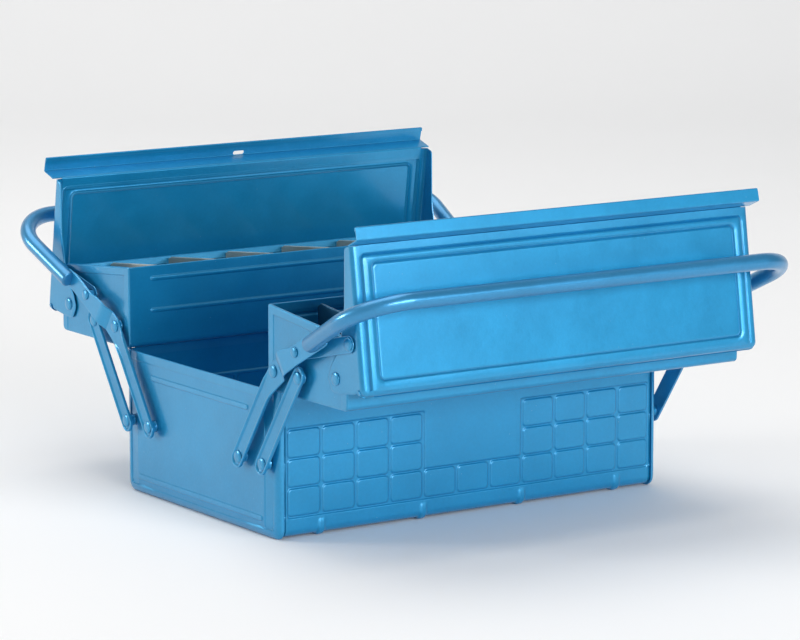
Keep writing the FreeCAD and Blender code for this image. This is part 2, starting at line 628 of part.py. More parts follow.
def link_bar():
    dy, dz = PIV_P[0] - PIV_Q[0], PIV_P[1] - PIV_Q[1]
    l = math.hypot(dy, dz)
    dy, dz = dy / l, dz / l
    pe = (PIV_Q[0] + dy * (l - 0.5), PIV_Q[1] + dz * (l - 0.5))
    pts_, e_ = stadium(PIV_Q, pe, 0.0, LINK_W)
    s = prism_x(pts_, e_, LINK_IN, LINK_OUT)
    s = s.cut(cyl_x(PIV_Q, HOLE, LINK_IN - 2, LINK_OUT + 2))
    # slotted inner end
    a = (PIV_Q[0] + dy * (l - 4.95), PIV_Q[1] + dz * (l - 4.95))
    b = (PIV_Q[0] + dy * (l + 0.15), PIV_Q[1] + dz * (l + 0.15))
    w = 2 * (PPIN_R + 1.15)
    pts_, e_ = stadium(a, b, 0.0, w)
    return one(s.cut(prism_x(pts_, e_, LINK_IN - 2, LINK_OUT + 2)))


link = link_bar()

# lid link rivet at the ear: head outside the link, shoulder between, tail flush in the ear
lr = cyl_x(PIV_Q, PIN_R, EAR_IN, LINK_OUT + 0.3)
lr = lr.fuse(cyl_x(PIV_Q, HEAD_R - 0.6, LID_HX + 0.02, LINK_IN - 0.06))
lr = one(lr.fuse(head(PIV_Q, LINK_OUT + 0.06, HEAD_R, HEAD_H)))

# handle rivet: head outside the plate, shoulder inside, pin flush in the link
hr = cyl_x(PIV_P, PPIN_R, LINK_IN, PLATE_OUT + 0.3)
hr = hr.fuse(cyl_x(PIV_P, 3.4, LINK_OUT + 0.1, PLATE_IN - 0.02))
hr = one(hr.fuse(head(PIV_P, PLATE_OUT + 0.02, HEAD_R - 1.0, HEAD_H)))

# ---------------------------------------------------------------- both halves
for side, nm in ((-1, "front"), (1, "rear")):
    save(nm + "_tray_shell", mir(shell, side, 1))
    save(nm + "_tray_end_right", mir(tend, side, 1))
    save(nm + "_tray_end_left", mir(tend, side, -1))
    for i, dv in enumerate(divs):
        save(nm + "_tray_divider_%d" % (i + 1), mir(dv, side, 1))
    save(nm + "_tray_spacers", Part.makeCompound([mir(s, side, e) for s in sps for e in (-1, 1)]))
    save(nm + "_tray_rivets", Part.makeCompound([mir(s, side, e) for s in rvs for e in (-1, 1)]))
    save(nm + "_lid_panel", mir(lid, side, 1))
    save(nm + "_lid_edge_strip", mir(strip(side), side, 1))
    save(nm + "_lid_link_right", mir(link, side, 1))
    save(nm + "_lid_link_left", mir(link, side, -1))
    save(nm + "_lid_rivets", Part.makeCompound([mir(lr, side, e) for e in (-1, 1)]))
    save(nm + "_handle_arm_right", mir(arm, side, 1))
    save(nm + "_handle_arm_left", mir(arm, side, -1))
    save(nm + "_handle_tube", mir(tube, side, 1))
    save(nm + "_handle_rivets", Part.makeCompound([mir(hr, side, e) for e in (-1, 1)]))
    save(nm + "_support_arm_right", mir(support, side, 1))
    save(nm + "_support_arm_left", mir(support, side, -1))
print(len(done), "parts")
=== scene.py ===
import math
import bpy
import numpy as np
from mathutils import Vector, Matrix
from mathutils.geometry import delaunay_2d_cdt


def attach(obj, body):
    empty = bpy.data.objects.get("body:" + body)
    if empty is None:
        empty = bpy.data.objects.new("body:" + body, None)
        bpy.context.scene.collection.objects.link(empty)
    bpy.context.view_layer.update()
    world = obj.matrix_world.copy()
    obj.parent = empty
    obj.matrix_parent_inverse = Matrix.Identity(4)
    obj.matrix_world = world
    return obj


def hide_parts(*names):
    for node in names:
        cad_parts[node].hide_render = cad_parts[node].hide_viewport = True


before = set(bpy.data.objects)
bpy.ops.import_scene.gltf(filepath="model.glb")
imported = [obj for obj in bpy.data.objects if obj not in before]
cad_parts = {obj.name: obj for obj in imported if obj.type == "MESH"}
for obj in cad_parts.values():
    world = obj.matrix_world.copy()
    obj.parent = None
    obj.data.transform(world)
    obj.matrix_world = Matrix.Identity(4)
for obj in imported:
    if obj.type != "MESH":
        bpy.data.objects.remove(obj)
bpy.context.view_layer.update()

# ------------------------------------------------------------------ sizes (mm)
FOOT = 0.8
BOX_HX, BOX_HY, RIM_Z, T_BOX = 176.0, 110.0, 111.3, 0.9
R_EDGE, R_CORNER = 6.0, 5.0
SEAM_X, FLANGE_X, WRAP_X = 168.3, 170.2, 171.0
PITCH = 30.4
ROW_Z, ROW_PITCH = [27.0, 48.9, 70.9], 21.95
PAD_W, PAD_H, PAD_R = 26.4, 18.95, 2.2
RIB_X = (-136.8, -45.6, 45.6, 136.8)
A0, B0 = (66.2, 56.5), (99.1, 56.5)
A1, B1 = (115.6, 128.3), (148.5, 128.3)
PC, PP, PQ = (194.0, 134.7), (152.2, 148.4), (212.8, 162.3)
ARM_W, ARM_WEB_IN, ARM_OUT, ARM_LIP, ARM_OVER = 13.5, 181.0, 182.0, 183.2, 2.25
PLATE_IN, PLATE_OUT = 185.8, 187.0
LINK_IN, LINK_OUT, LINK_W = 179.3, 180.4, 12.5
PIN_R, HEAD_R, HEAD_H = 2.5, 4.8, 1.6
TRAY_HX, TRAY_Y0, TRAY_Y1, TRAY_Z = 177.4, 101.1, 206.8, 112.2
TRAY_TOP, TRAY_SLOPE = 176.5, math.radians(5.6)
TRAY_OUT_TOP, TRAY_INN_TOP = 163.4, 175.6
DIV_X = [-135.0, -81.0, -27.0, 27.0, 81.0, 135.0]
LID_HX, EAR_IN = 178.8, 178.0
LID_B, LID_T = np.array((229.5, 126.2)), np.array((214.14, 232.4))
STRIP_HX, STRIP_MID, STRIP_TILT = 181.0, (225.1, 242.6), math.radians(14.6)
STRIP_LOW = {1: 5.4, -1: 4.3}
STRIP_UP = {1: 6.1, -1: 5.4}
STRIP_DIFF, SLOT_L, SLOT_H, SLOT_AT = 1.0, 10.5, 3.3, -3.3
TUBE_R, BEND_R = 6.25, 38.0
LEG0, LEG1 = np.array((187.2, 160.8, 150.4)), np.array((198.2, 257.6, 197.7))


# ------------------------------------------------------------------ small tools
def S(t):
    t = np.clip(t, 0.0, 1.0)
    return t * t * (3.0 - 2.0 * t)


def unit(v):
    return v / np.maximum(np.linalg.norm(v, axis=-1, keepdims=True), 1e-12)


def fillet(pts, rads, closed=True, deg=9.0):
    """polyline with rounded corners"""
    n, out = len(pts), []
    for i in range(n):
        r = rads[i] if hasattr(rads, "__len__") else rads
        p1 = np.array(pts[i], float)
        if r <= 1e-6 or (not closed and i in (0, n - 1)):
            out.append(p1)
            continue
        a = np.array(pts[i - 1], float) - p1
        b = np.array(pts[(i + 1) % n], float) - p1
        la, lb = np.linalg.norm(a), np.linalg.norm(b)
        a, b = a / la, b / lb
        ang = math.acos(max(-1.0, min(1.0, float(a @ b))))
        if math.pi - ang < 1e-3:
            out.append(p1)
            continue
        d = min(r / math.tan(ang / 2), la * 0.4999, lb * 0.4999)
        r = d * math.tan(ang / 2)
        m = (a + b) / np.linalg.norm(a + b)
        c = p1 + m * (r / math.sin(ang / 2))
        v0, v1 = p1 + a * d - c, p1 + b * d - c
        a0, a1 = math.atan2(v0[1], v0[0]), math.atan2(v1[1], v1[0])
        da = (a1 - a0 + math.pi) % (2 * math.pi) - math.pi
        k = max(2, int(math.ceil(math.degrees(abs(da)) / deg)))
        for j in range(k + 1):
            t = a0 + da * j / k
            out.append(c + r * np.array([math.cos(t), math.sin(t)]))
    res = [out[0]]
    for p in out[1:]:
        if np.linalg.norm(p - res[-1]) > 1e-4:
            res.append(p)
    if closed and np.linalg.norm(res[0] - res[-1]) < 1e-4:
        res.pop()
    return np.array(res)


def densify(poly, step, closed=True):
    P = np.asarray(poly, float)
    out, n = [], len(P)
    for i in range(n if closed else n - 1):
        a, b = P[i], P[(i + 1) % n]
        k = max(1, int(math.ceil(np.linalg.norm(b - a) / step)))
        for j in range(k):
            out.append(a + (b - a) * j / k)
    if not closed:
        out.append(P[-1])
    return np.array(out)


def offset(poly, d):
    """closed counter-clockwise outline moved inwards by d"""
    P = np.asarray(poly, float)
    e1 = unit(P - np.roll(P, 1, 0))
    e2 = unit(np.roll(P, -1, 0) - P)
    n1 = np.c_[-e1[:, 1], e1[:, 0]]
    n2 = np.c_[-e2[:, 1], e2[:, 0]]
    m = (n1 + n2) / np.maximum(1.0 + (n1 * n2).sum(1), 0.35)[:, None]
    return P + m * d


def inside(pts, poly):
    x, y = pts[:, 0][:, None], pts[:, 1][:, None]
    P = np.asarray(poly)
    Q = np.roll(P, -1, 0)
    x0, y0, x1, y1 = P[:, 0], P[:, 1], Q[:, 0], Q[:, 1]
    c = (y0 > y) != (y1 > y)
    with np.errstate(divide="ignore", invalid="ignore"):
        xi = x0 + (y - y0) * (x1 - x0) / np.where(y1 == y0, 1e-12, y1 - y0)
    return (np.sum(c & (x < xi), 1) % 2) == 1


def dist_to(pts, poly, closed=True):
    P = np.asarray(poly, float)
    Q = np.roll(P, -1, 0) if closed else P[1:]
    if not closed:
        P = P[:-1]
    d = Q - P
    L2 = np.maximum((d * d).sum(1), 1e-12)
    best = np.full(len(pts), 1e9)
    for a in range(0, len(pts), 4000):
        p = pts[a:a + 4000]
        t = np.clip(((p[:, None] - P[None]) * d[None]).sum(2) / L2[None], 0, 1)
        q = P[None] + t[..., None] * d[None]
        best[a:a + 4000] = np.sqrt(((p[:, None] - q) ** 2).sum(2).min(1))
    return best


def circle(c, r, n=40):
    return np.array([(c[0] + r * math.cos(2 * math.pi * i / n), c[1] + r * math.sin(2 * math.pi * i / n))
                     for i in range(n)])


def stadium(p, q, over, w, deg=9.0):
    p, q = np.array(p, float), np.array(q, float)
    d = (q - p) / np.linalg.norm(q - p)
    n = np.array((-d[1], d[0]))
    h = w / 2
    a, b = p - d * over, q + d * over
    out = []
    k = int(180 / deg)
    for c, s in ((b, 1), (a, -1)):
        for j in range(k + 1):
            t = -math.pi / 2 + math.pi * j / k
            out.append(c + s * (d * math.cos(t) + n * math.sin(t)) * h)
    return np.array(out)


def flat_mesh(outline, holes=(), loops=(), lines=(), pts=()):
    """triangles filling an outline, with the given loops and lines as edges"""
    V, E = [], []

    def add(P, closed):
        s = len(V)
        V.extend([Vector((float(p[0]), float(p[1]))) for p in P])
        n = len(P)
        for i in range(n if closed else n - 1):
            E.append((s + i, s + (i + 1) % n))
    add(outline, True)
    for h in holes:
        add(h, True)
    for l in loops:
        add(l, True)
    for l in lines:
        add(l, False)
    for p in pts:
        V.append(Vector((float(p[0]), float(p[1]))))
    r = delaunay_2d_cdt(V, E, [], 0, 1e-4, False)
    P = np.array([(v.x, v.y) for v in r[0]])
    T = np.array([list(f) for f in r[2] if len(f) == 3])
    c = P[T].mean(1)
    keep = inside(c, outline)
    for h in holes:
        keep &= ~inside(c, h)
    T = T[keep]
    a = np.cross(P[T[:, 1]] - P[T[:, 0]], P[T[:, 2]] - P[T[:, 0]])
    T = T[np.abs(a) > 1e-9]
    a = a[np.abs(a) > 1e-9]
    T[a < 0] = T[a < 0][:, ::-1]
    return P, T


def grid_faces(m, n, close_n=False):
    i, j = np.meshgrid(np.arange(m - 1), np.arange(n if close_n else n - 1), indexing="ij")
    i, j = i.ravel(), j.ravel()
    j1 = (j + 1) % n
    return np.stack([i * n + j, i * n + j1, (i + 1) * n + j1, (i + 1) * n + j], 1)


def sweep(sec, xs, disp=None):
    """section (y, z) carried along X; the right-hand side of its direction is the outside"""
    sec = np.asarray(sec, float)
    t = np.zeros_like(sec)
    t[1:-1] = unit(sec[1:-1] - sec[:-2]) + unit(sec[2:] - sec[1:-1])
    t[0], t[-1] = sec[1] - sec[0], sec[-1] - sec[-2]
    t = unit(t)
    n = np.c_[t[:, 1], -t[:, 0]]
    xs = np.asarray(xs, float)
    X = np.repeat(xs[:, None], len(sec), 1)
    Y = np.repeat(sec[None, :, 0], len(xs), 0)
    Z = np.repeat(sec[None, :, 1], len(xs), 0)
    V = np.stack([X, Y, Z], 2)
    if disp is not None:
        NY, NZ = np.repeat(n[None, :, 0], len(xs), 0), np.repeat(n[None, :, 1], len(xs), 0)
        V = V + disp(X, Y, Z, NY, NZ)
    return V.reshape(-1, 3), grid_faces(len(xs), len(sec))


def merge_lines(*lists, tol=0.12):
    v = sorted(float(x) for l in lists for x in l)
    out = [v[0]]
    for x in v[1:]:
        if x - out[-1] > tol:
            out.append(x)
    return np.array(out)


def join(parts):
    """several (verts, faces) as one"""
    V, F, s = [], [], 0
    for v, f in parts:
        V.append(np.asarray(v, float))
        F += [tuple(int(i) + s for i in q) for q in f]
        s += len(v)
    return np.concatenate(V), F


def tidy(me, weld=0.0):
    import bmesh
    bm = bmesh.new()
    bm.from_mesh(me)
    if weld:
        bmesh.ops.remove_doubles(bm, verts=bm.verts, dist=weld)
    bmesh.ops.dissolve_degenerate(bm, dist=1e-7, edges=bm.edges)
    loose = [v for v in bm.verts if not v.link_faces]
    bmesh.ops.delete(bm, geom=loose, context="VERTS")
    bm.to_mesh(me)
    bm.free()


def clean(V, F, tol=0.004):
    """one vertex per place, no slivers"""
    V = np.asarray(V, float)
    key = np.round(V / tol).astype(np.int64)
    _, first, inv = np.unique(key, axis=0, return_index=True, return_inverse=True)
    inv = inv.ravel()
    W = V[first]
    out = []
    for f in F:
        g = [int(inv[i]) for i in f]
        h = [g[i] for i in range(len(g)) if g[i] != g[i - 1]]
        if len(h) >= 3 and len(set(h)) == len(h):
            out.append(tuple(h))
    keep = []
    for size in sorted({len(f) for f in out}):
        G = np.array([f for f in out if len(f) == size])
        Q = W[G]
        nv = np.zeros((len(G), 3))
        for i in range(1, size - 1):
            nv += np.cross(Q[:, i] - Q[:, 0], Q[:, i + 1] - Q[:, 0])
        keep += [tuple(int(i) for i in f) for f in G[np.linalg.norm(nv, axis=1) > 1e-7]]
    used = sorted({i for f in keep for i in f})
    m = {i: k for k, i in enumerate(used)}
    return W[used], [tuple(m[i] for i in f) for f in keep]


def thicken(V, F, t, cap=1.5):
    """sheet of thickness t grown to the inside of (verts, faces)"""
    nrm = np.zeros_like(V)
    wsum, csum = np.zeros(len(V)), np.zeros(len(V))
    groups = []
    for size in sorted({len(f) for f in F}):
        G = np.array([f for f in F if len(f) == size])
        Q = V[G]
        nv = np.zeros((len(G), 3))
        for i in range(1, size - 1):
            nv += np.cross(Q[:, i] - Q[:, 0], Q[:, i + 1] - Q[:, 0])
        nv = unit(nv)
        angs = []
        for i in range(size):
            a, b = unit(Q[:, i - 1] - Q[:, i]), unit(Q[:, (i + 1) % size] - Q[:, i])
            ang = np.arccos(np.clip((a * b).sum(1), -1, 1))
            angs.append(ang)
            np.add.at(nrm, G[:, i], nv * ang[:, None])
        groups.append((G, nv, angs))
    nrm = unit(nrm)
    for G, nv, angs in groups:
        for i, ang in enumerate(angs):
            c = np.maximum(0.3, (nv * nrm[G[:, i]]).sum(1))
            np.add.at(wsum, G[:, i], ang)
            np.add.at(csum, G[:, i], ang * c)
    fac = np.minimum(cap, np.maximum(wsum, 1e-12) / np.maximum(csum, 1e-12))
    W = np.concatenate([V, V - nrm * (t * fac)[:, None]])
    n = len(V)
    out = list(F) + [tuple(n + i for i in f[::-1]) for f in F]
    edges = set()
    for f in F:
        for i in range(len(f)):
            edges.add((f[i], f[(i + 1) % len(f)]))
    for (a, b) in sorted(edges):
        if (b, a) not in edges:
            out.append((b, a, n + a, n + b))
    return W, out


def make(name, V, F, thick=0.0, bevel=0.0, seg=2, bev_deg=40.0, sharp=40.0, weld=0.0, cutter=None):
    """mesh piece in mm from (verts, faces); thick grows the sheet to its inside"""
    V, F = clean(V, [tuple(int(i) for i in f) for f in F])
    if thick:
        V, F = thicken(V, F, thick)
    V = V.copy()
    V[:, 2] += FOOT
    me = bpy.data.meshes.new(name)
    me.from_pydata((V * 0.001).tolist(), [], F)
    o = bpy.data.objects.new(name, me)
    bpy.context.scene.collection.objects.link(o)
    if cutter is not None:
        m = o.modifiers.new("cut", "BOOLEAN")
        m.operation = "DIFFERENCE"
        m.solver = "EXACT"
        m.object = cutter
    if bevel:
        m = o.modifiers.new("bevel", "BEVEL")
        m.width = bevel * 0.001
        m.segments = seg
        m.limit_method = "ANGLE"
        m.angle_limit = math.radians(bev_deg)
        m.use_clamp_overlap = True
    if o.modifiers:
        dg = bpy.context.evaluated_depsgraph_get()
        me2 = bpy.data.meshes.new_from_object(o.evaluated_get(dg))
        o.modifiers.clear()
        old = o.data
        o.data = me2
        bpy.data.meshes.remove(old)
    me = o.data
    me.name = name
    tidy(me)
    me.shade_smooth()
    me.set_sharp_from_angle(angle=math.radians(sharp))
    w = o.modifiers.new("normals", "WEIGHTED_NORMAL")
    w.keep_sharp = True
    w.weight = 60
    return o


def mirrored(o, name, sx, sy):
    me = o.data.copy()
    me.name = name
    if sx * sy < 0 or sx < 0 or sy < 0:
        me.transform(Matrix.Diagonal((sx, sy, 1.0, 1.0)))
        if sx * sy < 0:
            me.flip_normals()
    c = bpy.data.objects.new(name, me)
    bpy.context.scene.collection.objects.link(c)
    w = c.modifiers.new("normals", "WEIGHTED_NORMAL")
    w.keep_sharp = True
    w.weight = 60
    return c


def place(o, body, node, mat):
    o.data.materials.clear()
    o.data.materials.append(mat)
    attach(o, body)
    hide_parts(*(node if isinstance(node, (list, tuple)) else [node]))
    return o


def pair(o, kinds, node_of, body_of, mat, name_of):
    """the master piece is the rear right one; kinds lists the (side, end) it is wanted for"""
    for k, (sy, sx) in enumerate(kinds):
        c = mirrored(o, name_of(sy, sx), sx, sy)
        place(c, body_of(sy, sx), node_of(sy, sx), mat)
    bpy.data.objects.remove(o)


SIDE = {1: "rear", -1: "front"}
END = {1: "right", -1: "left"}
ALL4 = [(1, 1), (1, -1), (-1, 1), (-1, -1)]


# ------------------------------------------------------------------ materials
def N(nt, kind, **kw):
    n = nt.nodes.new(kind)
    for k, v in kw.items():
        if k in n.inputs.keys():
            n.inputs[k].default_value = v
        else:
            setattr(n, k, v)
    return n


def enamel(name, deep, light, rough=0.36, peel=0.10, seed=0.0, edge=0.16, metal=0.5):
    """stoved enamel over pressed steel: orange peel, soft mottling, painted shade in the corners, rubbed edges"""
    m = bpy.data.materials.new(name)
    m.use_nodes = True
    nt = m.node_tree
    nt.nodes.clear()
    L = nt.links.new
    out = N(nt, "ShaderNodeOutputMaterial")
    b = N(nt, "ShaderNodeBsdfPrincipled")
    L(b.outputs[0], out.inputs[0])
    b.inputs["IOR"].default_value = 1.5
    b.inputs["Metallic"].default_value = metal
    b.inputs["Specular IOR Level"].default_value = 0.5
    b.inputs["Coat Weight"].default_value = 0.65
    b.inputs["Coat Roughness"].default_value = 0.17
    tc = N(nt, "ShaderNodeTexCoord")
    mp = N(nt, "ShaderNodeMapping")
    mp.inputs["Location"].default_value = (seed, seed * 0.7, -seed * 0.4)
    L(tc.outputs["Object"], mp.inputs["Vector"])
    # broad mottling of the paint film
    n1 = N(nt, "ShaderNodeTexNoise", Scale=14.0, Detail=3.0, Roughness=0.6)
    L(mp.outputs[0], n1.inputs["Vector"])
    n2 = N(nt, "ShaderNodeTexNoise", Scale=420.0, Detail=2.0, Roughness=0.5)
    L(mp.outputs[0], n2.inputs["Vector"])
    mix0 = N(nt, "ShaderNodeMath", operation="MULTIPLY_ADD")
    mix0.inputs[1].default_value = 0.7
    L(n1.outputs[0], mix0.inputs[0])
    sc = N(nt, "ShaderNodeMath", operation="MULTIPLY")
    sc.inputs[1].default_value = 0.3
    L(n2.outputs[0], sc.inputs[0])
    L(sc.outputs[0], mix0.inputs[2])
    ramp = N(nt, "ShaderNodeValToRGB")
    ramp.color_ramp.elements[0].position = 0.34
    ramp.color_ramp.elements[0].color = (*deep, 1)
    ramp.color_ramp.elements[1].position = 0.66
    ramp.color_ramp.elements[1].color = (*light, 1)
    L(mix0.outputs[0], ramp.inputs[0])
    # thin film on convex edges; painted shade darkening the folds
    geo = N(nt, "ShaderNodeNewGeometry")
    pr = N(nt, "ShaderNodeValToRGB")
    pr.color_ramp.elements[0].position = 0.505
    pr.color_ramp.elements[0].color = (0, 0, 0, 1)
    pr.color_ramp.elements[1].position = 0.56
    pr.color_ramp.elements[1].color = (1, 1, 1, 1)
    L(geo.outputs["Pointiness"], pr.inputs[0])
    ed = N(nt, "ShaderNodeMath", operation="MULTIPLY")
    ed.inputs[1].default_value = edge
    L(pr.outputs[0], ed.inputs[0])
    edn = N(nt, "ShaderNodeMath", operation="MULTIPLY")
    L(ed.outputs[0], edn.inputs[0])
    L(n1.outputs[0], edn.inputs[1])
    mixe = N(nt, "ShaderNodeMix", data_type="RGBA")
    L(edn.outputs[0], mixe.inputs[0])
    L(ramp.outputs[0], mixe.inputs[6])
    mixe.inputs[7].default_value = (0.16, 0.46, 0.68, 1)
    # painted shade: concave folds (low pointiness) are darkened towards a deeper blue
    fold_shade_ramp = N(nt, "ShaderNodeValToRGB")
    fold_shade_ramp.color_ramp.elements[0].position = 0.44
    fold_shade_ramp.color_ramp.elements[0].color = (1, 1, 1, 1)
    fold_shade_ramp.color_ramp.elements[1].position = 0.495
    fold_shade_ramp.color_ramp.elements[1].color = (0, 0, 0, 1)
    L(geo.outputs["Pointiness"], fold_shade_ramp.inputs[0])
    dv = N(nt, "ShaderNodeMath", operation="MULTIPLY")
    dv.inputs[1].default_value = 0.45
    L(fold_shade_ramp.outputs[0], dv.inputs[0])
    painted_shade_mix = N(nt, "ShaderNodeMix", data_type="RGBA")
    L(dv.outputs[0], painted_shade_mix.inputs[0])
    L(mixe.outputs[2], painted_shade_mix.inputs[6])
    painted_shade_mix.inputs[7].default_value = (deep[0] * 0.35, deep[1] * 0.42, deep[2] * 0.5, 1)
    # sparse pale specks of dust
    vo = N(nt, "ShaderNodeTexVoronoi", Scale=95.0, feature="F1")
    vo.inputs["Randomness"].default_value = 1.0
    L(mp.outputs[0], vo.inputs["Vector"])
    vs = N(nt, "ShaderNodeMath", operation="LESS_THAN")
    vs.inputs[1].default_value = 0.035
    L(vo.outputs["Distance"], vs.inputs[0])
    vm = N(nt, "ShaderNodeMath", operation="MULTIPLY")
    vm.inputs[1].default_value = 0.18
    L(vs.outputs[0], vm.inputs[0])
    mixs = N(nt, "ShaderNodeMix", data_type="RGBA")
    L(vm.outputs[0], mixs.inputs[0])
    L(painted_shade_mix.outputs[2], mixs.inputs[6])
    mixs.inputs[7].default_value = (0.55, 0.66, 0.72, 1)
    L(mixs.outputs[2], b.inputs["Base Color"])
    # roughness: clouded by handling
    n3 = N(nt, "ShaderNodeTexNoise", Scale=38.0, Detail=4.0, Roughness=0.65)
    L(mp.outputs[0], n3.inputs["Vector"])
    rr = N(nt, "ShaderNodeMapRange")
    rr.inputs[1].default_value = 0.3
    rr.inputs[2].default_value = 0.7
    rr.inputs[3].default_value = rough - 0.04
    rr.inputs[4].default_value = rough + 0.07
    L(n3.outputs[0], rr.inputs[0])
    L(rr.outputs[0], b.inputs["Roughness"])
    # orange peel and a finer grain
    n4 = N(nt, "ShaderNodeTexNoise", Scale=520.0, Detail=1.5, Roughness=0.5)
    L(mp.outputs[0], n4.inputs["Vector"])
    n5 = N(nt, "ShaderNodeTexNoise", Scale=60.0, Detail=2.0, Roughness=0.5)
    L(mp.outputs[0], n5.inputs["Vector"])
    ad = N(nt, "ShaderNodeMath", operation="MULTIPLY_ADD")
    ad.inputs[1].default_value = 3.0
    L(n5.outputs[0], ad.inputs[0])
    L(n4.outputs[0], ad.inputs[2])
    bp = N(nt, "ShaderNodeBump")
    bp.inputs["Strength"].default_value = peel
    bp.inputs["Distance"].default_value = 0.0004
    L(ad.outputs[0], bp.inputs["Height"])
    L(bp.outputs[0], b.inputs["Normal"])
    return m


def plated(name, deep, light):
    """thin plated steel with an olive-brown tint and rolling marks"""
    m = bpy.data.materials.new(name)
    m.use_nodes = True
    nt = m.node_tree
    nt.nodes.clear()
    L = nt.links.new
    out = N(nt, "ShaderNodeOutputMaterial")
    b = N(nt, "ShaderNodeBsdfPrincipled")
    L(b.outputs[0], out.inputs[0])
    b.inputs["Metallic"].default_value = 0.45
    tc = N(nt, "ShaderNodeTexCoord")
    mp = N(nt, "ShaderNodeMapping")
    mp.inputs["Scale"].default_value = (1.0, 1.0, 14.0)
    L(tc.outputs["Object"], mp.inputs["Vector"])
    n1 = N(nt, "ShaderNodeTexNoise", Scale=22.0, Detail=4.0, Roughness=0.6)
    L(tc.outputs["Object"], n1.inputs["Vector"])
    n2 = N(nt, "ShaderNodeTexNoise", Scale=60.0, Detail=3.0, Roughness=0.6)
    L(mp.outputs[0], n2.inputs["Vector"])
    ramp = N(nt, "ShaderNodeValToRGB")
    ramp.color_ramp.elements[0].position = 0.3
    ramp.color_ramp.elements[0].color = (*deep, 1)
    ramp.color_ramp.elements[1].position = 0.7
    ramp.color_ramp.elements[1].color = (*light, 1)
    L(n1.outputs[0], ramp.inputs[0])
    L(ramp.outputs[0], b.inputs["Base Color"])
    rr = N(nt, "ShaderNodeMapRange")
    rr.inputs[1].default_value = 0.3
    rr.inputs[2].default_value = 0.7
    rr.inputs[3].default_value = 0.34
    rr.inputs[4].default_value = 0.5
    L(n2.outputs[0], rr.inputs[0])
    L(rr.outputs[0], b.inputs["Roughness"])
    bp = N(nt, "ShaderNodeBump")
    bp.inputs["Strength"].default_value = 0.15
    bp.inputs["Distance"].default_value = 0.0003
    L(n2.outputs[0], bp.inputs["Height"])
    L(bp.outputs[0], b.inputs["Normal"])
    return m


DEEP, LIGHT = (0.004, 0.240, 0.482), (0.006, 0.286, 0.568)
M_BODY = enamel("enamel_body", DEEP, LIGHT, seed=0.0)
M_END = enamel("enamel_ends", DEEP, LIGHT, seed=1.3)
M_TRAY = enamel("enamel_trays", DEEP, LIGHT, seed=2.1)
M_LID = enamel("enamel_lids", DEEP, LIGHT, rough=0.34, peel=0.12, seed=3.7)
M_ARM = enamel("enamel_arms", DEEP, LIGHT, seed=4.4, edge=0.25)
M_TUBE = enamel("enamel_tube", (0.024, 0.238, 0.475), (0.032, 0.282, 0.560), rough=0.33, seed=5.2, edge=0.0, metal=0.62)
M_RIVET = enamel("enamel_rivets", DEEP, LIGHT, rough=0.3, seed=6.9, edge=0.3)
M_DIV = plated("plated_steel", (0.38, 0.37, 0.30), (0.60, 0.59, 0.51))
# copy for the front tray's dividers: its dark blue base colour is painted shade and a painted reflection of the blue
# interior
M_DIV_SHADED = plated("plated_steel_dark", (0.006, 0.085, 0.175), (0.010, 0.110, 0.225))

# ------------------------------------------------------------------ lower box: body sheet
zb = T_BOX


def pad_grid_depth(X, Z):
    """depth of the pressed grid, 0 on the pads to 1 in the grooves"""
    def rbox(x, z, cx, cz, hx, hz, r):
        qx, qz = np.abs(x - cx) - hx + r, np.abs(z - cz) - hz + r
        return np.hypot(np.maximum(qx, 0), np.maximum(qz, 0)) + np.minimum(np.maximum(qx, qz), 0) - r
    ax = np.abs(X)
    zlo, zhi, zmid = 14.5, 83.4, 39.4
    side = rbox(ax, Z, (43.6 + 167.2) / 2, (zlo + zhi) / 2, (167.2 - 43.6) / 2, (zhi - zlo) / 2, 2.6)
    mid = rbox(X, Z, 0, (zlo + zmid) / 2, 47.6, (zmid - zlo) / 2, 1.2)
    frame_d = np.minimum(side, mid)                      # negative inside
    pads = np.full_like(X, 1e9)
    for k in range(-5, 6):
        for r, zc in enumerate(ROW_Z):
            if abs(k) <= 1 and r > 0:
                continue
            pads = np.minimum(pads, rbox(X, Z, k * PITCH, zc, PAD_W / 2, PAD_H / 2, PAD_R))
    d = np.minimum(-frame_d, pads)
    return S(d / 1.25)


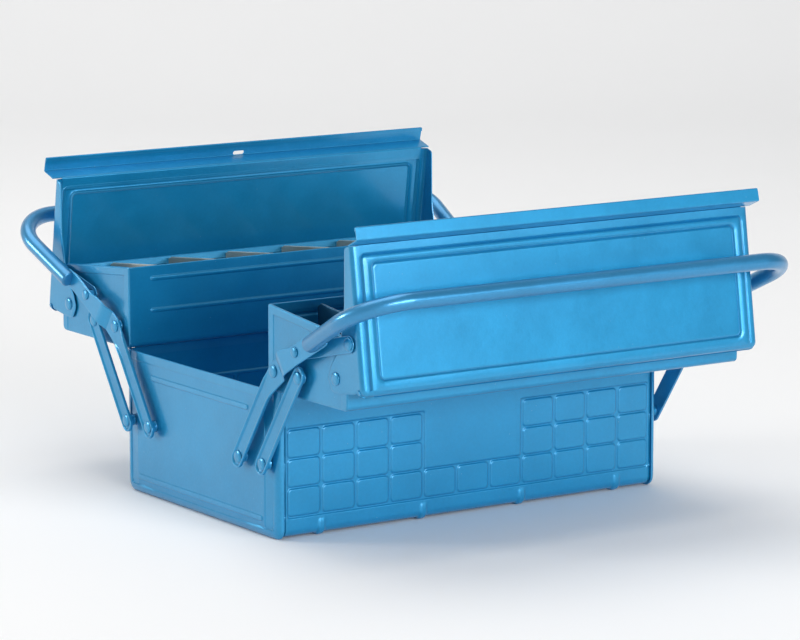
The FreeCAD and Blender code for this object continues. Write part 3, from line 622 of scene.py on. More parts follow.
def body_sheet():
    th = 0.84
    pts = [(-BOX_HY + 2 * T_BOX, RIM_Z - 7.0), (-BOX_HY + 2 * T_BOX, RIM_Z), (-BOX_HY, RIM_Z), (-BOX_HY, zb),
           (BOX_HY, zb), (BOX_HY, RIM_Z), (BOX_HY - 2 * T_BOX, RIM_Z), (BOX_HY - 2 * T_BOX, RIM_Z - 7.0)]
    rads = [0, 0.9, 0.9, R_EDGE, R_EDGE, 0.9, 0.9, 0]
    raw = fillet(pts, rads, closed=False, deg=11.0)
    zl = [88.0, 95.0, 102.0, 108.0, 8.0, 10.0, 11.4, 12.6, 13.6]
    offs = (0, 0.3, 0.6, 0.9, 1.2, 1.5, 1.9, 2.4, 3.0, 3.8)
    for j in range(4):
        zc = ROW_Z[0] - ROW_PITCH / 2 + j * ROW_PITCH
        for o_ in offs:
            zl += [zc - o_, zc + o_]
    zl += ROW_Z
    zl = merge_lines(zl, tol=0.14)
    sec = []
    for a, b in zip(raw[:-1], raw[1:]):
        sec.append(a)
        if np.linalg.norm(b - a) > 8.0:
            if abs(a[0] - b[0]) < 1e-6:          # wall
                zs = [z for z in zl if min(a[1], b[1]) + 0.1 < z < max(a[1], b[1]) - 0.1]
                if b[1] < a[1]:
                    zs = zs[::-1]
                sec += [np.array((a[0], z)) for z in zs]
            elif abs(a[1] - b[1]) < 1e-6:        # floor
                ys = [-100, -97.5, -96, -94, -90, -70, -45, -20, 0, 20, 45, 70, 90, 94, 96, 97.5, 100]
                sec += [np.array((y, a[1])) for y in ys]
    sec.append(raw[-1])
    sec = np.array(sec)
    xl = [0.0]
    xo = (0, 0.8, 1.1, 1.4, 1.7, 2.0, 2.4, 2.9, 3.5, 4.3)
    for k in range(-5, 7):
        c = PITCH * (k - 0.5)
        for o_ in xo:
            xl += [c - o_, c + o_]
    xl += [k * PITCH for k in range(-5, 6)] + [k * PITCH + 7 for k in range(-5, 6)] + [k * PITCH - 7 for k in range(-5, 6)]
    xl = [x for x in xl if abs(x) < 167.3]
    for s in (1, -1):
        xl += [s * v for v in (167.5, 167.9, 168.2, 168.5, 168.8, 169.2, 170.0, 171.0)]
    xl = merge_lines(xl, tol=0.14)
    nsec = len(sec)
    hemlen = 0
    # rows of the section that belong to the inner hem and rim, where the joggle goes with the wall
    wall_sign = np.where(sec[:, 0] < 0, -1.0, 1.0)
    is_up = sec[:, 1] > RIM_Z - 7.5
    inner_side = is_up & (np.abs(sec[:, 0]) < BOX_HY - 0.95)

    def disp(X, Y, Z, NY, NZ):
        D = np.zeros(X.shape + (3,))
        wall = (np.abs(Y) > BOX_HY - 0.01) & (Z > 7.0) & (Z < 100)
        h = np.where(wall, -0.9 * pad_grid_depth(X, Z), 0.0)
        # floor ribs, carried round the bend and up to the grid
        ax = np.abs(np.abs(np.abs(X) - 91.2) - 45.6)
        prof = 1.0 - S((ax - 1.4) / 2.6)
        amp = np.where(Z < zb + 0.01, 1.7, 0.0)
        ang = np.clip((Z - zb) / R_EDGE, 0, 1)
        amp = np.where((Z >= zb + 0.01) & (Z <= zb + R_EDGE + 0.1), 1.7 - 0.9 * ang, amp)
        amp = np.where((Z > zb + R_EDGE + 0.1) & (Z < 20), 0.8 * (1 - S((Z - 9.0) / 4.6)), amp)
        h = h + amp * prof
        # weld dimples that bridge the seam
        jog = 1.25 * S((np.abs(X) - 167.7) / 0.9)
        if True:
            for zc in (16.0, 56.0, 96.0):
                r = np.hypot((np.abs(X) - 169.2) / 1.1, (Z - zc) / 1.9)
                jog = jog * np.where(np.abs(Y) > BOX_HY - 0.3, 1 - 0.9 * (1 - S((r - 0.35) / 0.75)), 1.0)
        D[..., 1] += NY * h
        D[..., 2] += NZ * h
        inn = inner_side[None, :] | (is_up[None, :])
        jy = np.where(inn, np.sign(Y), NY)
        jz = np.where(inn, 0.0, NZ)
        D[..., 1] -= jy * jog
        D[..., 2] -= jz * jog
        return D
    V, F = sweep(sec, xl, disp)
    return make("body_sheet", V, F, thick=th, bevel=0.0, sharp=50)


place(body_sheet(), "box", "box_wrapper", M_BODY)


# ------------------------------------------------------------------ lower box: end panels
def end_panel():
    hy, zt = BOX_HY, RIM_Z
    rb = 6.9
    zr = zt - 0.9
    # U-shaped path from the front rim down, along the bottom and up (counter-clockwise seen from +X)
    base = fillet([(-hy, zt), (-hy, 0.0), (hy, 0.0), (hy, zt)], [0, rb, rb, 0], closed=False, deg=7.5)
    zl = [109.0, 104.3, 99.0, 90, 75, 60, 45, 30, 20, 12, 9]
    path = []
    for a, b in zip(base[:-1], base[1:]):
        path.append(a)
        if np.linalg.norm(b - a) > 20:
            if abs(a[0] - b[0]) < 1e-6:
                zs = [zr] + zl
                zs = sorted(z for z in zs if min(a[1], b[1]) + 0.2 < z < max(a[1], b[1]) - 1e-3)
                if b[1] < a[1]:
                    zs = zs[::-1]
                path += [np.array((a[0], z)) for z in zs]
            else:
                path += [np.array((y, a[1])) for y in np.linspace(-95, 95, 20)]
    path.append(base[-1])
    path = np.array(path)
    e = np.zeros_like(path)
    e[1:-1] = unit(path[1:-1] - path[:-2]) + unit(path[2:] - path[1:-1])
    e[0], e[-1] = path[1] - path[0], path[-1] - path[-2]
    e = unit(e)
    nrm = np.c_[-e[:, 1], e[:, 0]]           # inwards
    band_d = 6.55
    tilt = math.tan(math.radians(6.0))

    def face_x(y, z):
        """outer face of the panel away from the corner radius"""
        ay = np.abs(y)
        x = np.full_like(y, BOX_HX)
        # the side bands lean away from the flat field
        x = x - np.maximum(ay - 93.6, 0) * tilt
        x = x - 0.5 * (S((ay - 92.4) / 1.4))
        lo = np.maximum(9.5 - z, 0)
        x = x - lo * math.tan(math.radians(9.0)) * (1 - S((ay - 92) / 4.0) * 0.5)
        # two pairs of beads
        for zc, hw, ye in ((93.7, 2.5, 71.5), (13.2, 2.5, 91.0)):
            qx, qz = np.abs(y) - ye + hw, np.abs(z - zc)
            d = np.hypot(np.maximum(qx, 0), qz) - hw
            x = x + 0.95 * (1 - S((d + 1.15) / 1.15))
        # rolled shoulder under the rim
        x = x + 0.3 * (S((z - 103.6) / 1.4))
        return x
    rows = []
    rc = R_CORNER
    for (d, dx) in [(0.0, None), (0.0, 0.0)] + [(rc * (1 - math.cos(a)), rc * math.sin(a)) for a in
                                               np.radians([12, 24, 36, 48, 60, 70, 80, 90])] + [(5.8, rc), (band_d, rc)]:
        P = path + nrm * d
        if dx is None:
            x = np.full(len(P), FLANGE_X)
        else:
            xe = face_x(P[:, 0], P[:, 1])
            # the corner radius starts on the flange and ends on the leaning face
            x0 = BOX_HX - rc
            f = dx / rc
            x = x0 + (xe - x0) * f
        rows.append(np.c_[x, P])
    G = np.array(rows)                         # rows x path x 3
    m, n = G.shape[:2]
    # clip the band's top to the rim by construction: the path ends at the rim
    V1, F1 = G.reshape(-1, 3), grid_faces(m, n)
    inner = G[-1][:, 1:]
    # inner field
    ring = inner
    outline = [p for p in ring if p[1] <= zr + 1e-6]
    y0, y1 = outline[0][0], outline[-1][0]
    top = [np.array((y, zr)) for y in np.linspace(y1, y0, 60)[1:-1]]
    outline = np.array(outline + top)
    loops, lines = [], []
    for zc, hw, ye in ((93.7, 2.5, 71.5), (13.2, 2.5, 91.0)):
        for d in (0.0, 0.25, 0.5, 0.75, 1.0):
            w = 2 * (hw - d)
            loops.append(stadium((-ye + hw, zc), (ye - hw, zc), 0.0, w, deg=15))
    for s in (1, -1):
        for yv in (92.5, 92.9, 93.3, 93.7, 94.2):
            lines.append(densify([(s * yv, 1.5 if False else 7.2), (s * yv, zr - 0.3)], 12.0, False))
    for zv in (103.5, 103.9, 104.4, 104.8, 105.2):
        lines.append(densify([(-102.8, zv), (102.8, zv)], 12.0, False))
    for zv in (7.4, 8.4, 9.2, 9.7):
        lines.append(densify([(-102.6, zv), (102.6, zv)], 12.0, False))
    P, T = flat_mesh(outline, loops=loops, lines=lines)
    x = face_x(P[:, 0], P[:, 1])
    V2 = np.c_[x, P]
    # rolled rim and hem along the mouth
    ys = np.array([p[0] for p in ([outline[len(outline) - len(top) - 1]] + top + [outline[0]])])
    ys = ys[::-1]
    xr = face_x(ys, np.full_like(ys, zr))
    prof = []
    for a in np.radians(np.arange(0, 181, 18)):
        prof.append((0.9 * (1 - math.cos(a)), zr + 0.9 * math.sin(a)))
    prof += [(1.8, zr - 3.0), (1.8, zt - 7.0)]
    rows = [np.c_[xr - dx, ys, np.full_like(ys, z)] for dx, z in prof]
    G3 = np.array(rows)
    V3, F3 = G3.reshape(-1, 3), grid_faces(G3.shape[0], G3.shape[1])
    F1 = F1[:, ::-1]
    V, F = join([(V1, F1), (V2, T), (V3, F3)])
    return make("end_panel", V, F, thick=0.82, weld=0.003, sharp=45)


def orient_check(o, want):
    """area-weighted sum of the faces' normals along want"""
    me = o.data
    s = sum(p.area * (p.normal.x * want[0] + p.normal.y * want[1] + p.normal.z * want[2]) for p in me.polygons)
    return s


ep = end_panel()
pair(ep, [(1, 1), (1, -1)], lambda sy, sx: "box_end_" + END[sx], lambda sy, sx: "box", M_END,
     lambda sy, sx: "end_panel_" + END[sx])


# ------------------------------------------------------------------ turned pieces
def revolve(prof, c, n=44):
    """closed profile [(radius, x)] turned about the X axis through c = (y, z)"""
    ring = []
    V, F = [], []
    idx = []
    for r, x in prof:
        if r < 1e-6:
            idx.append([len(V)])
            V.append((x, c[0], c[1]))
        else:
            idx.append(list(range(len(V), len(V) + n)))
            for i in range(n):
                a = 2 * math.pi * i / n
                V.append((x, c[0] + r * math.cos(a), c[1] + r * math.sin(a)))
    for a, b in zip(idx[:-1], idx[1:]):
        for i in range(n):
            j = (i + 1) % n
            if len(a) == 1 and len(b) > 1:
                F.append((a[0], b[i], b[j]))
            elif len(b) == 1 and len(a) > 1:
                F.append((a[i], b[0], a[j])[::1])
            elif len(a) > 1:
                F.append((a[i], b[i], b[j], a[j]))
    return np.array(V), F


def rivet(c, x_tail, x_seat, x_head, r_head, h_head, r_pin, r_tail, h_tail, collar=None):
    """domed rivet: tail inside at x_tail, head seated at x_head"""
    prof = [(0.0, x_tail - h_tail)]
    for a in np.radians([20, 40, 60, 75, 88]):
        prof.append((r_tail * math.sin(a), x_tail - h_tail * math.cos(a) ** 0.7))
    prof += [(r_tail, x_tail), (r_pin, x_tail)]
    if collar:
        x0, x1, rc = collar
        prof += [(r_pin, x0), (rc - 0.15, x0), (rc, x0 + 0.15), (rc, x1 - 0.15), (rc - 0.15, x1), (r_pin, x1)]
    prof += [(r_pin, x_head), (r_head - 0.12, x_head), (r_head, x_head + 0.12), (r_head, x_head + 0.3)]
    for a in np.radians([12, 24, 36, 48, 60, 70, 79, 86]):
        prof.append((r_head * math.cos(a) ** 0.8, x_head + 0.3 + (h_head - 0.3) * math.sin(a)))
    prof.append((0.0, x_head + h_head))
    V, F = revolve(prof, c)
    return V, [f[::-1] for f in F]


def ring_boss(c, x0, x1, ro, ri):
    """spacer with a slightly waisted side"""
    xm = (x0 + x1) / 2
    w = (x1 - x0)
    prof = [(ri, x0), (ro - 0.25, x0), (ro, x0 + 0.25), (ro - 0.18, xm - 0.2 * w), (ro - 0.22, xm), (ro - 0.18, xm + 0.2 * w),
            (ro, x1 - 0.25), (ro - 0.25, x1), (ri, x1), (ri, x0)]
    V, F = revolve(prof, c)
    return V, [f[::-1] for f in F]


def mirror_parts(parts, ends=(1, -1), sides=(1,)):
    out = []
    for sy in sides:
        for sx in ends:
            for V, F in parts:
                W = V.copy()
                W[:, 0] *= sx
                W[:, 1] *= sy
                out.append((W, [f[::-1] for f in F] if sx * sy < 0 else F))
    return join(out)


sp = [ring_boss(c, BOX_HX + 0.03, ARM_WEB_IN - 0.1, 4.6, PIN_R + 0.03) for c in (A0, B0)]
V, F = mirror_parts(sp, sides=(1, -1))
place(make("pivot_spacers", V, F, sharp=35), "box", "box_pivot_spacers", M_RIVET)
rv = [rivet(c, BOX_HX - 0.95, None, ARM_OUT + 0.1, HEAD_R, HEAD_H, PIN_R, HEAD_R - 0.8, 1.2) for c in (A0, B0)]
V, F = mirror_parts(rv, sides=(1, -1))
place(make("pivot_rivets", V, F, sharp=35), "box", "box_pivot_rivets", M_RIVET)


# ------------------------------------------------------------------ trays
def end_top(y):
    return TRAY_TOP - (y - TRAY_Y0) * math.tan(TRAY_SLOPE)


def tray_shell():
    t = 0.8
    ix = TRAY_HX - t - 0.02
    pts = [(TRAY_Y0 + 2 * t, TRAY_INN_TOP - 6), (TRAY_Y0 + 2 * t, TRAY_INN_TOP), (TRAY_Y0, TRAY_INN_TOP), (TRAY_Y0, TRAY_Z),
           (TRAY_Y1, TRAY_Z), (TRAY_Y1, TRAY_OUT_TOP), (TRAY_Y1 - 2 * t, TRAY_OUT_TOP), (TRAY_Y1 - 2 * t - 1.5, TRAY_OUT_TOP - 5.6)]
    raw = fillet(pts, [0, 0.8, 0.8, 4, 4, 0.8, 0.8, 0], closed=False, deg=11.25)
    sec = []
    beads = (165.5, 140.5)
    zs_all = []
    for zc in beads:
        zs_all += [zc + d for d in (-3, -2.4, -2.0, -1.6, -1.2, -0.8, -0.4, 0, 0.4, 0.8, 1.2, 1.6, 2.0, 2.4, 3)]
    zs_all = sorted(zs_all + [120, 130, 150, 158, 171])
    for a, b in zip(raw[:-1], raw[1:]):
        sec.append(a)
        if np.linalg.norm(b - a) > 12:
            if abs(a[0] - b[0]) < 1e-6 and a[0] < 150:
                zs = [z for z in zs_all if min(a[1], b[1]) < z < max(a[1], b[1])]
                if b[1] < a[1]:
                    zs = zs[::-1]
                sec += [np.array((a[0], z)) for z in zs]
            else:
                k = 6
                sec += [a + (b - a) * j / k for j in range(1, k)]
    sec.append(raw[-1])
    sec = np.array(sec)
    xl = list(np.linspace(-150, 150, 26))
    for s in (1, -1):
        xl += [s * v for v in (ix, ix - 0.6, 170, 164, 160.0, 159.2, 158.8, 158.4, 158.0, 157.6, 157.2, 156.8, 156.2, 155.4, 154.2, 152.5)]
    xl = merge_lines(xl, tol=0.1)

    def disp(X, Y, Z, NY, NZ):
        D = np.zeros(X.shape + (3,))
        w = np.abs(Y - TRAY_Y0) < 0.01
        h = np.zeros_like(X)
        for zc in beads:
            q = np.abs(X) - 158 + 1.9
            d = np.hypot(np.maximum(q, 0), Z - zc)
            h = np.maximum(h, 0.95 * np.sqrt(np.clip(1 - (d / 1.9) ** 2, 0, 1)) * S((1.9 - d) / 0.8))
        # faint oil-canning of the thin wall
        h2 = 0.12 * np.sin(X * 0.021 + 1.1) * np.sin((Z - 112) * 0.048)
        D[..., 1] = NY * (h + h2) * w
        outer = np.abs(Y - TRAY_Y1) < 0.01
        D[..., 1] += NY * 0.12 * np.sin(X * 0.017 + 0.4) * np.sin((Z - 112) * 0.06) * outer
        return D
    V, F = sweep(sec, xl, disp)
    return make("tray_shell", V, F, thick=0.74, sharp=45)


def tray_end():
    pts = [(TRAY_Y0, TRAY_Z), (TRAY_Y1, TRAY_Z), (TRAY_Y1, end_top(TRAY_Y1) - 0.5), (TRAY_Y0, TRAY_TOP - 0.5)]
    outline = densify(fillet(pts, [4, 4, 10.5, 2.0], deg=9), 9.0)
    r = 1.3
    rings = [offset(outline, d) for d in (0.08, 0.3, 0.6, 0.95, 1.3)]
    lines = []
    # step of the folded-over flange along the inner edge and of the hem below the sloping top
    for yv in (7.0, 7.35, 7.7, 8.05):
        lines.append(densify([(TRAY_Y0 + yv, TRAY_Z + 1.7), (TRAY_Y0 + yv, TRAY_TOP - 2.2)], 8, False))
        lines.append(densify([(TRAY_Y1 - yv, TRAY_Z + 1.7), (TRAY_Y1 - yv, end_top(TRAY_Y1) - 4.5)], 8, False))
    c, s_ = math.cos(TRAY_SLOPE), math.sin(TRAY_SLOPE)
    for dv in (6.4, 6.75, 7.1, 7.45):
        a = np.array((TRAY_Y0 + 1.6, end_top(TRAY_Y0 + 1.6) - dv / c))
        b = np.array((TRAY_Y1 - 2.2, end_top(TRAY_Y1 - 2.2) - dv / c))
        lines.append(densify([a, b], 8, False))
    P, T = flat_mesh(outline, loops=rings, lines=lines)
    d = dist_to(P, outline)
    h = -(r - np.sqrt(np.clip(r * r - np.clip(r - d, 0, r) ** 2, 0, None)))
    dy0, dy1 = P[:, 0] - TRAY_Y0, TRAY_Y1 - P[:, 0]
    dt = (TRAY_TOP - (P[:, 0] - TRAY_Y0) * math.tan(TRAY_SLOPE) - P[:, 1]) * c
    flange = np.maximum(1 - S((dy0 - 7.0) / 1.05), 1 - S((dy1 - 7.0) / 1.05))
    hem = 1 - S((dt - 6.4) / 1.05)
    h = h + 0.55 * np.maximum(flange, hem) - 0.55
    # shallow buckle of the sheet round the rivets
    for cc in (A1, B1, PC):
        rr = np.hypot(P[:, 0] - cc[0], P[:, 1] - cc[1])
        h += -0.12 * np.exp(-(rr / 7.0) ** 2)
    V = np.c_[TRAY_HX + h, P]
    V1, F1 = V, T
    # ring for an edge turned in over the tray sheet; it is built but not joined into the plate
    ring = np.array(outline)
    hb = TRAY_HX - r
    k = len(ring)
    V2 = np.concatenate([np.c_[np.full(k, hb - 0.0), ring], np.c_[np.full(k, hb - 0.55), ring]])
    F2 = [(i, k + i, k + (i + 1) % k, (i + 1) % k) for i in range(k)]
    F2 = [f[::1] for f in F2]
    V, F = join([(V1, F1)])
    return make("tray_end", V, F, thick=0.7, weld=0.003, sharp=45)


def divider():
    """partition with a rolled top edge and a foot flange along the bottom"""
    t = 0.8
    y0, y1 = TRAY_Y0 + 2 * t + 0.25, TRAY_Y1 - 2 * t - 1.9
    zl, zi, zo = TRAY_Z + t + 0.15, TRAY_INN_TOP - 2.0, TRAY_OUT_TOP - 0.2
    n = 30
    ys = np.linspace(y0, y1, n)
    top = zi + (zo - zi) * (ys - y0) / (y1 - y0)
    # drop the corners
    top = top - 3.0 * (1 - np.sqrt(np.clip(1 - (np.clip(3 - (ys - y0), 0, 3) / 3) ** 2, 0, 1)))
    top = top - 1.2 * (1 - np.sqrt(np.clip(1 - (np.clip(1.2 - (y1 - ys), 0, 1.2) / 1.2) ** 2, 0, 1)))
    rows = []
    x0 = 0.35
    fr = [0, 0.04, 0.12, 0.3, 0.5, 0.7, 0.85, 0.95, 1.0]
    rows.append(np.c_[np.full(n, x0 + 7.0), ys, np.full(n, zl)])
    rows.append(np.c_[np.full(n, x0 + 0.9), ys, np.full(n, zl)])
    rows.append(np.c_[np.full(n, x0 + 0.25), ys, np.full(n, zl + 0.25)])
    for f in fr:
        rows.append(np.c_[np.full(n, x0), ys, (zl + 0.9) * (1 - f) + (top - 1.3) * f])
    for a in np.radians(np.arange(20, 271, 25)):
        rows.append(np.c_[np.full(n, x0 + 0.95 * (1 - math.cos(a))), ys, top - 1.3 + 0.95 * math.sin(a)])
    G = np.array(rows)
    V, F = G.reshape(-1, 3), grid_faces(G.shape[0], G.shape[1])
    return make("divider", V, F[:, ::-1], thick=0.55, bevel=0.0, sharp=45)


for sy in (1, -1):
    body = SIDE[sy] + "_tray"
ts = tray_shell()
pair(ts, [(1, 1), (-1, 1)], lambda sy, sx: SIDE[sy] + "_tray_shell", lambda sy, sx: SIDE[sy] + "_tray", M_TRAY,
     lambda sy, sx: SIDE[sy] + "_tray_sheet")
te = tray_end()
pair(te, ALL4, lambda sy, sx: SIDE[sy] + "_tray_end_" + END[sx], lambda sy, sx: SIDE[sy] + "_tray", M_TRAY,
     lambda sy, sx: SIDE[sy] + "_tray_end_plate_" + END[sx])
dv = divider()
# the front tray's dividers get the plated steel copy with painted shade
for sy in (1, -1):
    for i, x in enumerate(DIV_X):
        c = mirrored(dv, "%s_divider_%d" % (SIDE[sy], i + 1), 1, sy)
        c.data.transform(Matrix.Translation((x * 0.001 - 0.0004, 0, 0)))
        place(c, SIDE[sy] + "_tray", "%s_tray_divider_%d" % (SIDE[sy], i + 1), M_DIV if sy > 0 else M_DIV_SHADED)
bpy.data.objects.remove(dv)

sp = [ring_boss(c, TRAY_HX + 0.03, ARM_WEB_IN - 0.1, 4.6, PIN_R + 0.03) for c in (A1, B1)]
sp.append(ring_boss(PC, TRAY_HX + 0.03, EAR_IN - 0.08, 6.0, PIN_R + 0.03))
rv = [rivet(c, TRAY_HX - 0.85, None, ARM_OUT + 0.1, HEAD_R, HEAD_H, PIN_R, HEAD_R - 0.8, 1.0) for c in (A1, B1)]
rv.append(rivet(PC, TRAY_HX - 0.85, None, LID_HX + 0.1, HEAD_R + 0.2, HEAD_H, PIN_R, HEAD_R - 0.8, 1.0))
for sy in (1, -1):
    V, F = mirror_parts(sp, sides=(sy,))
    place(make(SIDE[sy] + "_tray_bosses", V, F, sharp=35), SIDE[sy] + "_tray", SIDE[sy] + "_tray_spacers", M_RIVET)
    V, F = mirror_parts(rv, sides=(sy,))
    place(make(SIDE[sy] + "_tray_pins", V, F, sharp=35), SIDE[sy] + "_tray", SIDE[sy] + "_tray_rivets", M_RIVET)

# ------------------------------------------------------------------ lids
LD = (LID_T - LID_B) / np.linalg.norm(LID_T - LID_B)
LN = np.array((LD[1], -LD[0]))
LL = float(np.linalg.norm(LID_T - LID_B))


def lp(u, w):
    p = LID_B + LD * u + LN * w
    return p


def lid_panel():
    R = 4.0
    t = 0.8
    out0 = fillet([(-LID_HX, 0.0), (LID_HX, 0.0), (LID_HX, LL), (-LID_HX, LL)], [5.5, 5.5, 0.5, 0.5], deg=9)
    outline = densify(out0, 7.0)
    rings = []
    for a in (10, 22, 34, 46, 58, 68, 78, 90):
        d = R * (1 - math.cos(math.radians(a)))
        # the top edge stays flat: only the sides and the bottom are bent
        rings.append(d)
    # bent sides and bottom: inset of a tall outline so that the top isn't bent
    tall = fillet([(-LID_HX, 0.0), (LID_HX, 0.0), (LID_HX, LL + 40), (-LID_HX, LL + 40)], [5.5, 5.5, 0, 0], deg=9)
    tall_d = densify(tall, 7.0)
    lines = []

    def clip(P):
        keep = P[:, 1] <= LL - 0.05
        i = int(np.argmax(~keep)) if (~keep).any() else 0
        P = np.roll(P, -i, 0)
        keep = P[:, 1] <= LL - 0.05
        return P[keep]
    for d in rings:
        q = offset(tall_d, d)
        q = clip(q)
        lines.append(q)

    def rrect(hx, u0, u1, r, d):
        """line at inset d of a round-cornered frame that is open at the bottom when u0 is None"""
        rr = max(r - d, 0.35)
        if u0 is None:
            p = fillet([(-hx + d, 5.0), (-hx + d, u1 - d), (hx - d, u1 - d), (hx - d, 5.0)], [0, rr, rr, 0], closed=False, deg=12)
            return densify(p, 9.0, False), False
        p = fillet([(-hx + d, u0 + d), (hx - d, u0 + d), (hx - d, u1 - d), (-hx + d, u1 - d)], rr, deg=12)
        return densify(p, 9.0), True
    HO, UO = 171.6, LL - 6.5
    HI, UI0, UI1 = 162.6, 11.0, LL - 13.2
    loops = []
    for d in (-1.5, -1.1, -0.75, -0.4, 0.0, 0.4, 0.75, 1.1, 1.5, 2.3, 3.3, 4.4):
        p, cl = rrect(HO, None, UO, 4.0, d)
        lines.append(p)
    for d in (-4.0, -2.8, -1.5, -1.1, -0.75, -0.4, 0.0, 0.4, 0.75, 1.1, 1.5, 2.4):
        p, cl = rrect(HI, UI0, UI1, 3.6, d)
        loops.append(p)
    P, T = flat_mesh(outline, loops=loops, lines=lines)

    def sdf(x, u, hx, u0, u1, r):
        """positive inside"""
        cx = np.abs(x) - hx + r
        cu = np.maximum(u - u1, (u0 - u)) + r if u0 is not None else (u - u1 + r)
        return -(np.hypot(np.maximum(cx, 0), np.maximum(cu, 0)) + np.minimum(np.maximum(cx, cu), 0) - r)
    x, u = P[:, 0], P[:, 1]
    so = sdf(x, u, HO, None, UO, 4.0)
    si = sdf(x, u, HI, UI0, UI1, 3.6)
    g = lambda d, k, wd: k * np.exp(-(d / wd) ** 2)
    w = -g(so, 0.72, 0.72) - g(si, 0.72, 0.72)
    width = np.maximum(so - si, 0.5)
    tt = np.clip(so / width, 0, 1)
    band = (so > 0) & (si < 0)
    w += np.where(band, 0.95 * np.sin(np.pi * tt) ** 0.8 * np.clip((so - 0.0) / 1.0, 0, 1) * np.clip(-si / 1.0, 0, 1), 0.0)
    w += 0.35 * S(so / 1.4)
    # slight crown of the large field
    w += 0.25 * np.clip(1 - (x / HI) ** 2, 0, 1) * np.clip(1 - ((u - 50) / 42.0) ** 2, 0, 1)
    # fade everything out before the bent edges
    dt = dist_to(P, tall_d)
    fade = S((dt - R * 0.55) / 2.4)
    w *= fade
    dd = np.clip(R - dt, 0, R)
    w = w - (R - np.sqrt(np.clip(R * R - dd * dd, 0, None)))
    yz = LID_B + LD[None] * u[:, None] + LN[None] * w[:, None]
    V1 = np.c_[x, yz]
    F1 = T
    # boundary strip below the bend along the bottom hem; the ears at the sides are added in lid_with_ears
    bot = [p for p in outline if p[1] < 12.0 and True]
    parts = [(V1, F1[:, ::-1])]
    k = len(outline)
    # order the outline from the right side's top, down, along the bottom and up the left side
    ol = outline
    start = int(np.argmin(np.hypot(ol[:, 0] + LID_HX, ol[:, 1] - (LL - 0.5))))
    ol = np.roll(ol, -start, 0)
    # ol now runs down the left side, along the bottom, up the right side, and along the top
    sel = [p for p in ol if p[1] < LL - 0.45]
    sel = np.array(sel)
    bottom = np.array([p for p in sel if p[1] < 6.2])
    rowsb = []
    for wv in (-R, -R - 0.7, -R - 1.6, -R - 2.8):
        yzv = LID_B + LD[None] * bottom[:, 1][:, None] + LN[None] * wv
        rowsb.append(np.c_[bottom[:, 0], yzv])
    G = np.array(rowsb)
    parts.append((G.reshape(-1, 3), grid_faces(G.shape[0], G.shape[1])[:, ::-1]))
    V, F = join(parts)
    return V, F, sel, R


def lid_with_ears():
    V, F, sel, R = lid_panel()
    parts = [(V, F)]
    side_r = np.array([p for p in sel if p[0] > LID_HX - 1e-3])
    side_r = side_r[np.argsort(side_r[:, 1])]
    front = [tuple(lp(u, -R)) for u in side_r[:, 1]]
    top_u = side_r[-1, 1]
    ear = [tuple(lp(top_u, -R)), (204.9, 230.3), (204.6, 187.0), (198.5, 158.0), (187.0, 143.5), (183.2, 133.5),
           (188.6, 124.2), (198.0, 124.0), (219.0, 127.2), tuple(lp(side_r[0, 1], -R))]
    er = fillet(ear, [0, 5.5, 30, 18, 10, 6.0, 5.5, 10, 5, 0], closed=False, deg=9)
    er = densify(er, 5.0, False)
    outline = np.array(front + [tuple(p) for p in er[1:-1]])
    # counter-clockwise in (y, z)
    area = 0.5 * np.sum(outline[:, 0] * np.roll(outline[:, 1], -1) - np.roll(outline[:, 0], -1) * outline[:, 1])
    if area < 0:
        outline = outline[::-1]
    free = np.array([tuple(p) for p in er])
    rin = []
    for d in (0.35, 0.8, 1.4, 2.0):
        q = offset(outline, d)
        dfr = dist_to(q, np.array(front), False)
        q = q[dfr > 2.6]
        rin.append(q)
    P, T = flat_mesh(outline, pts=[tuple(p) for q in rin for p in q])
    d = dist_to(P, free, False)
    h = -0.35 * (1 - S(d / 1.6)) * 1.0
    dfront = dist_to(P, np.array(front), False)
    h = h * S(dfront / 3.0)
    # no dish round the pivot and the link rivet: its depth is zero
    for cc, rr0 in ((PC, 8.0), (PQ, 7.5)):
        rr = np.hypot(P[:, 0] - cc[0], P[:, 1] - cc[1])
        h += 0.0 * rr
    Vr = np.c_[LID_HX + h, P]
    parts.append((Vr, T))
    Vl = Vr.copy()
    Vl[:, 0] *= -1
    parts.append((Vl, T[:, ::-1]))
    V, F = join(parts)
    return make("lid_panel", V, F, thick=0.76, weld=0.004, sharp=45)


ld_obj = lid_with_ears()
pair(ld_obj, [(1, 1), (-1, 1)], lambda sy, sx: SIDE[sy] + "_lid_panel", lambda sy, sx: SIDE[sy] + "_lid", M_LID,
     lambda sy, sx: SIDE[sy] + "_lid_sheet")


